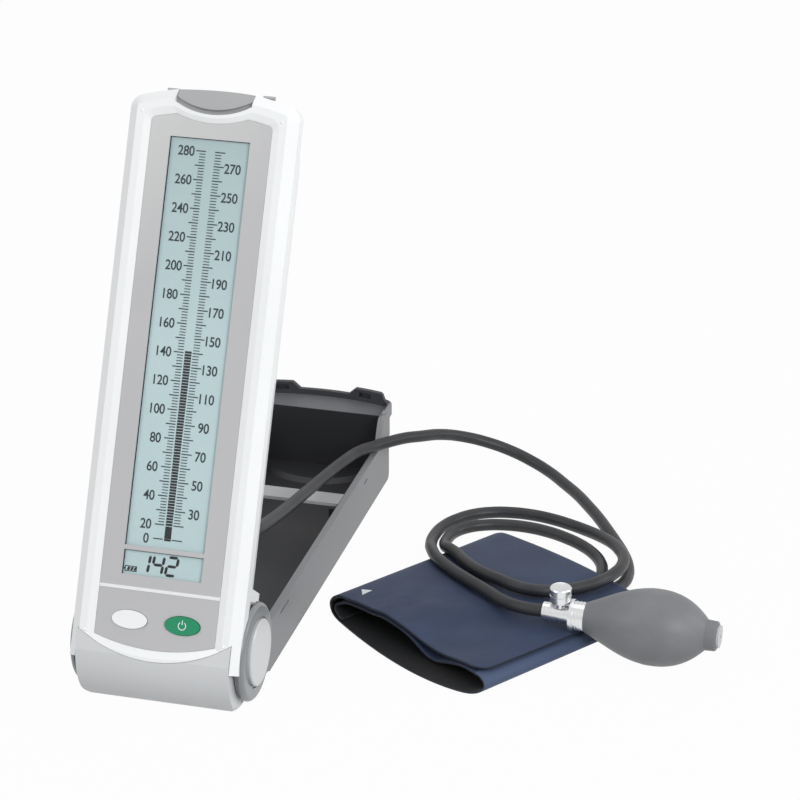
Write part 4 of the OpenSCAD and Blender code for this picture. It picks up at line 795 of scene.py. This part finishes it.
def stripSpot(point, s):
    t, share, fixed, bowShare, dip = point
    height = share * crown(t) * fall(s) + fixed
    if share > 0.5:
        height += softRise(t, s) * (share - 0.5) * 2
    # The inner top layer hangs away from the flap near the mouth
    height -= dip * 0.0048 * lump(t, s, 0.085, 0.0, 0.013, 0.026)
    spread = s * 0.012 + t * 0.22 * s
    return Vector((t + spread, s - bowShare * bowOut(t, s), height))


line = profile()
lengths = [0.0]
for a, b in zip(line, line[1:]):
    step = stripSpot(b, 0.066) - stripSpot(a, 0.066)
    lengths.append(lengths[-1] + math.hypot(step.x, step.z))
# Painted highlight: the right fold, which comes past the flap's own points, is painted a little lighter than
# the rest, where light catches it
foldAlong = [at for at, spot in zip(lengths, line)
             if cuff["foldFrom"] < spot[0] and spot[1] < 0.9 and at > lengths[cuff["flapPoints"]]]
foldPaintedHighlight = positionMask(navyNylon, [((1, 0, 0), foldAlong[0], foldAlong[-1] + 0.004, False)], "UV")
overpaint(navyNylon, foldPaintedHighlight, "#45536F")


def stripPlace(along, s):
    # Catmull-Rom through the profile's points, at a distance along the strip
    along = min(max(along, 0), lengths[-1])
    k = max(i for i in range(len(lengths) - 1) if lengths[i] <= along + 1e-12)
    t = (along - lengths[k]) / (lengths[k + 1] - lengths[k])
    quad = [line[max(0, k - 1)], line[k], line[k + 1], line[min(len(line) - 1, k + 2)]]
    p0, p1, p2, p3 = (stripSpot(q, s) for q in quad)
    square = 2 * p0 - 5 * p1 + 4 * p2 - p3
    cube = 3 * p1 - p0 - 3 * p2 + p3
    return 0.5 * (2 * p1 + (p2 - p0) * t + square * t * t + cube * t ** 3)


def woundStrip():
    wrap = bmesh.new()
    clothMap = wrap.loops.layers.uv.new("cloth")
    bmesh.ops.create_grid(wrap, x_segments=cuff["columns"], y_segments=cuff["rows"], size=0.5)
    cutPlace = {}  # each corner's place on the flat strip; the corner at the flap's front is cut round
    for v in wrap.verts:
        along = (v.co.x + 0.5) * lengths[-1]
        s = (v.co.y + 0.5) ** 1.25 * cuff["along"]
        r = cuff["cornerRadius"]
        if along < r and s < r:
            away = Vector((along - r, s - r))
            reach = max(abs(away.x), abs(away.y))
            if away.length > 0:
                away *= reach / away.length
            along, s = r + away.x, r + away.y
        cutPlace[v] = (along, s)
        v.co = stripPlace(along, s)
    for face in wrap.faces:
        face.normal_flip()
        for loop in face.loops:
            loop[clothMap].uv = cutPlace[loop.vert]
    turned = Matrix.Rotation(math.radians(cuff["turn"]), 4, "Z")
    wrap.transform(Matrix.Translation((*cuff["corner"], 0.0)) @ turned)
    return meshObject(wrap, "cuffWrap", navyNylon, 80)


cuffWrap = woundStrip()
cuffWrap.data.materials.append(linerNylon)
cuffWrap.data.materials.append(bindingTape)
wall = cuffWrap.modifiers.new("wall", "SOLIDIFY")
wall.thickness = cuff["thick"]
wall.offset = 0
wall.material_offset = 1
wall.material_offset_rim = 2
soften = cuffWrap.modifiers.new("soften", "SUBSURF")
soften.levels = soften.render_levels = 1
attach(cuffWrap, "base")
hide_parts("cuff_cover", "cuff_flap", "hook_patch", "cuff_bladder")
print("cuff: done, strip length", lengths[-1])

# Floor, sky and light: both show plain where they are seen, in gloss and clear sheets too
def plainlySeen(owner):
    rays = addNode(owner, "ShaderNodeLightPath")
    gloss = addNode(owner, "ShaderNodeMath", {"operation": "MAXIMUM"},
                    {0: rays.outputs["Is Camera Ray"], 1: rays.outputs["Is Glossy Ray"]})
    return addNode(owner, "ShaderNodeMath", {"operation": "MAXIMUM"},
                   {0: gloss.outputs[0], 1: rays.outputs["Is Transmission Ray"]}).outputs[0]


floorFacts = {"paper": "#C6C7C8", "whiteShare": 0.97, "half": 6.0, "below": 0.0002}
floorMesh = bmesh.new()
bmesh.ops.create_grid(floorMesh, x_segments=1, y_segments=1, size=floorFacts["half"])
floorPaper, floorShader = newMaterial("floorPaper", {"Base Color": colour(floorFacts["paper"]),
                                                     "Roughness": 0.9})
floorPlain = addNode(floorPaper, "ShaderNodeEmission", {"Color": (1, 1, 1, 1), "Strength": 1.0})
whiteShare = addNode(floorPaper, "ShaderNodeMath", {"operation": "MULTIPLY", 1: floorFacts["whiteShare"]},
                     {0: plainlySeen(floorPaper)})
floorBlend = addNode(floorPaper, "ShaderNodeMixShader", None,
                     {0: whiteShare.outputs[0], 1: floorShader.outputs[0], 2: floorPlain.outputs[0]})
join(floorPaper, floorBlend.outputs[0], floorPaper.node_tree.nodes["Material Output"].inputs["Surface"])
floor = meshObject(floorMesh, "floor", floorPaper)
floor.location.z = -floorFacts["below"]

world = bpy.data.worlds.new("studio")
bpy.context.scene.world = world
world.use_nodes = True
skyLight = world.node_tree.nodes["Background"]
skyLight.inputs["Color"].default_value = (1.0, 1.0, 1.0, 1.0)
skyLight.inputs["Strength"].default_value = 0.47
skySeen = addNode(world, "ShaderNodeBackground", {"Color": (0.8, 0.8, 0.8, 1.0), "Strength": 1.0})
skyBlend = addNode(world, "ShaderNodeMixShader", None,
                   {0: plainlySeen(world), 1: skyLight.outputs[0], 2: skySeen.outputs[0]})
join(world, skyBlend.outputs[0], world.node_tree.nodes["World Output"].inputs["Surface"])


def softLight(name, place, target, size, power):
    data = bpy.data.lights.new(name, "AREA")
    data.size = size
    data.energy = power
    lamp = bpy.data.objects.new(name, data)
    bpy.context.scene.collection.objects.link(lamp)
    lamp.location = place
    lamp.rotation_euler = (Vector(target) - Vector(place)).to_track_quat("-Z", "Y").to_euler()


softLight("keyLight", (1.35, -1.25, 1.15), (0.05, 0, 0.08), 0.8, 17)
softLight("fillLight", (-1.2, -1.0, 1.3), (0.05, 0, 0.08), 1.0, 8)
softLight("topLight", (0.2, 0.5, 1.9), (0.1, 0, 0.05), 1.2, 4)
softLight("rimLight", (1.7, 0.3, 0.8), (0.1, 0, 0.08), 0.7, 5.5)
bpy.context.scene.view_settings.view_transform = "Standard"
print("stage: done")
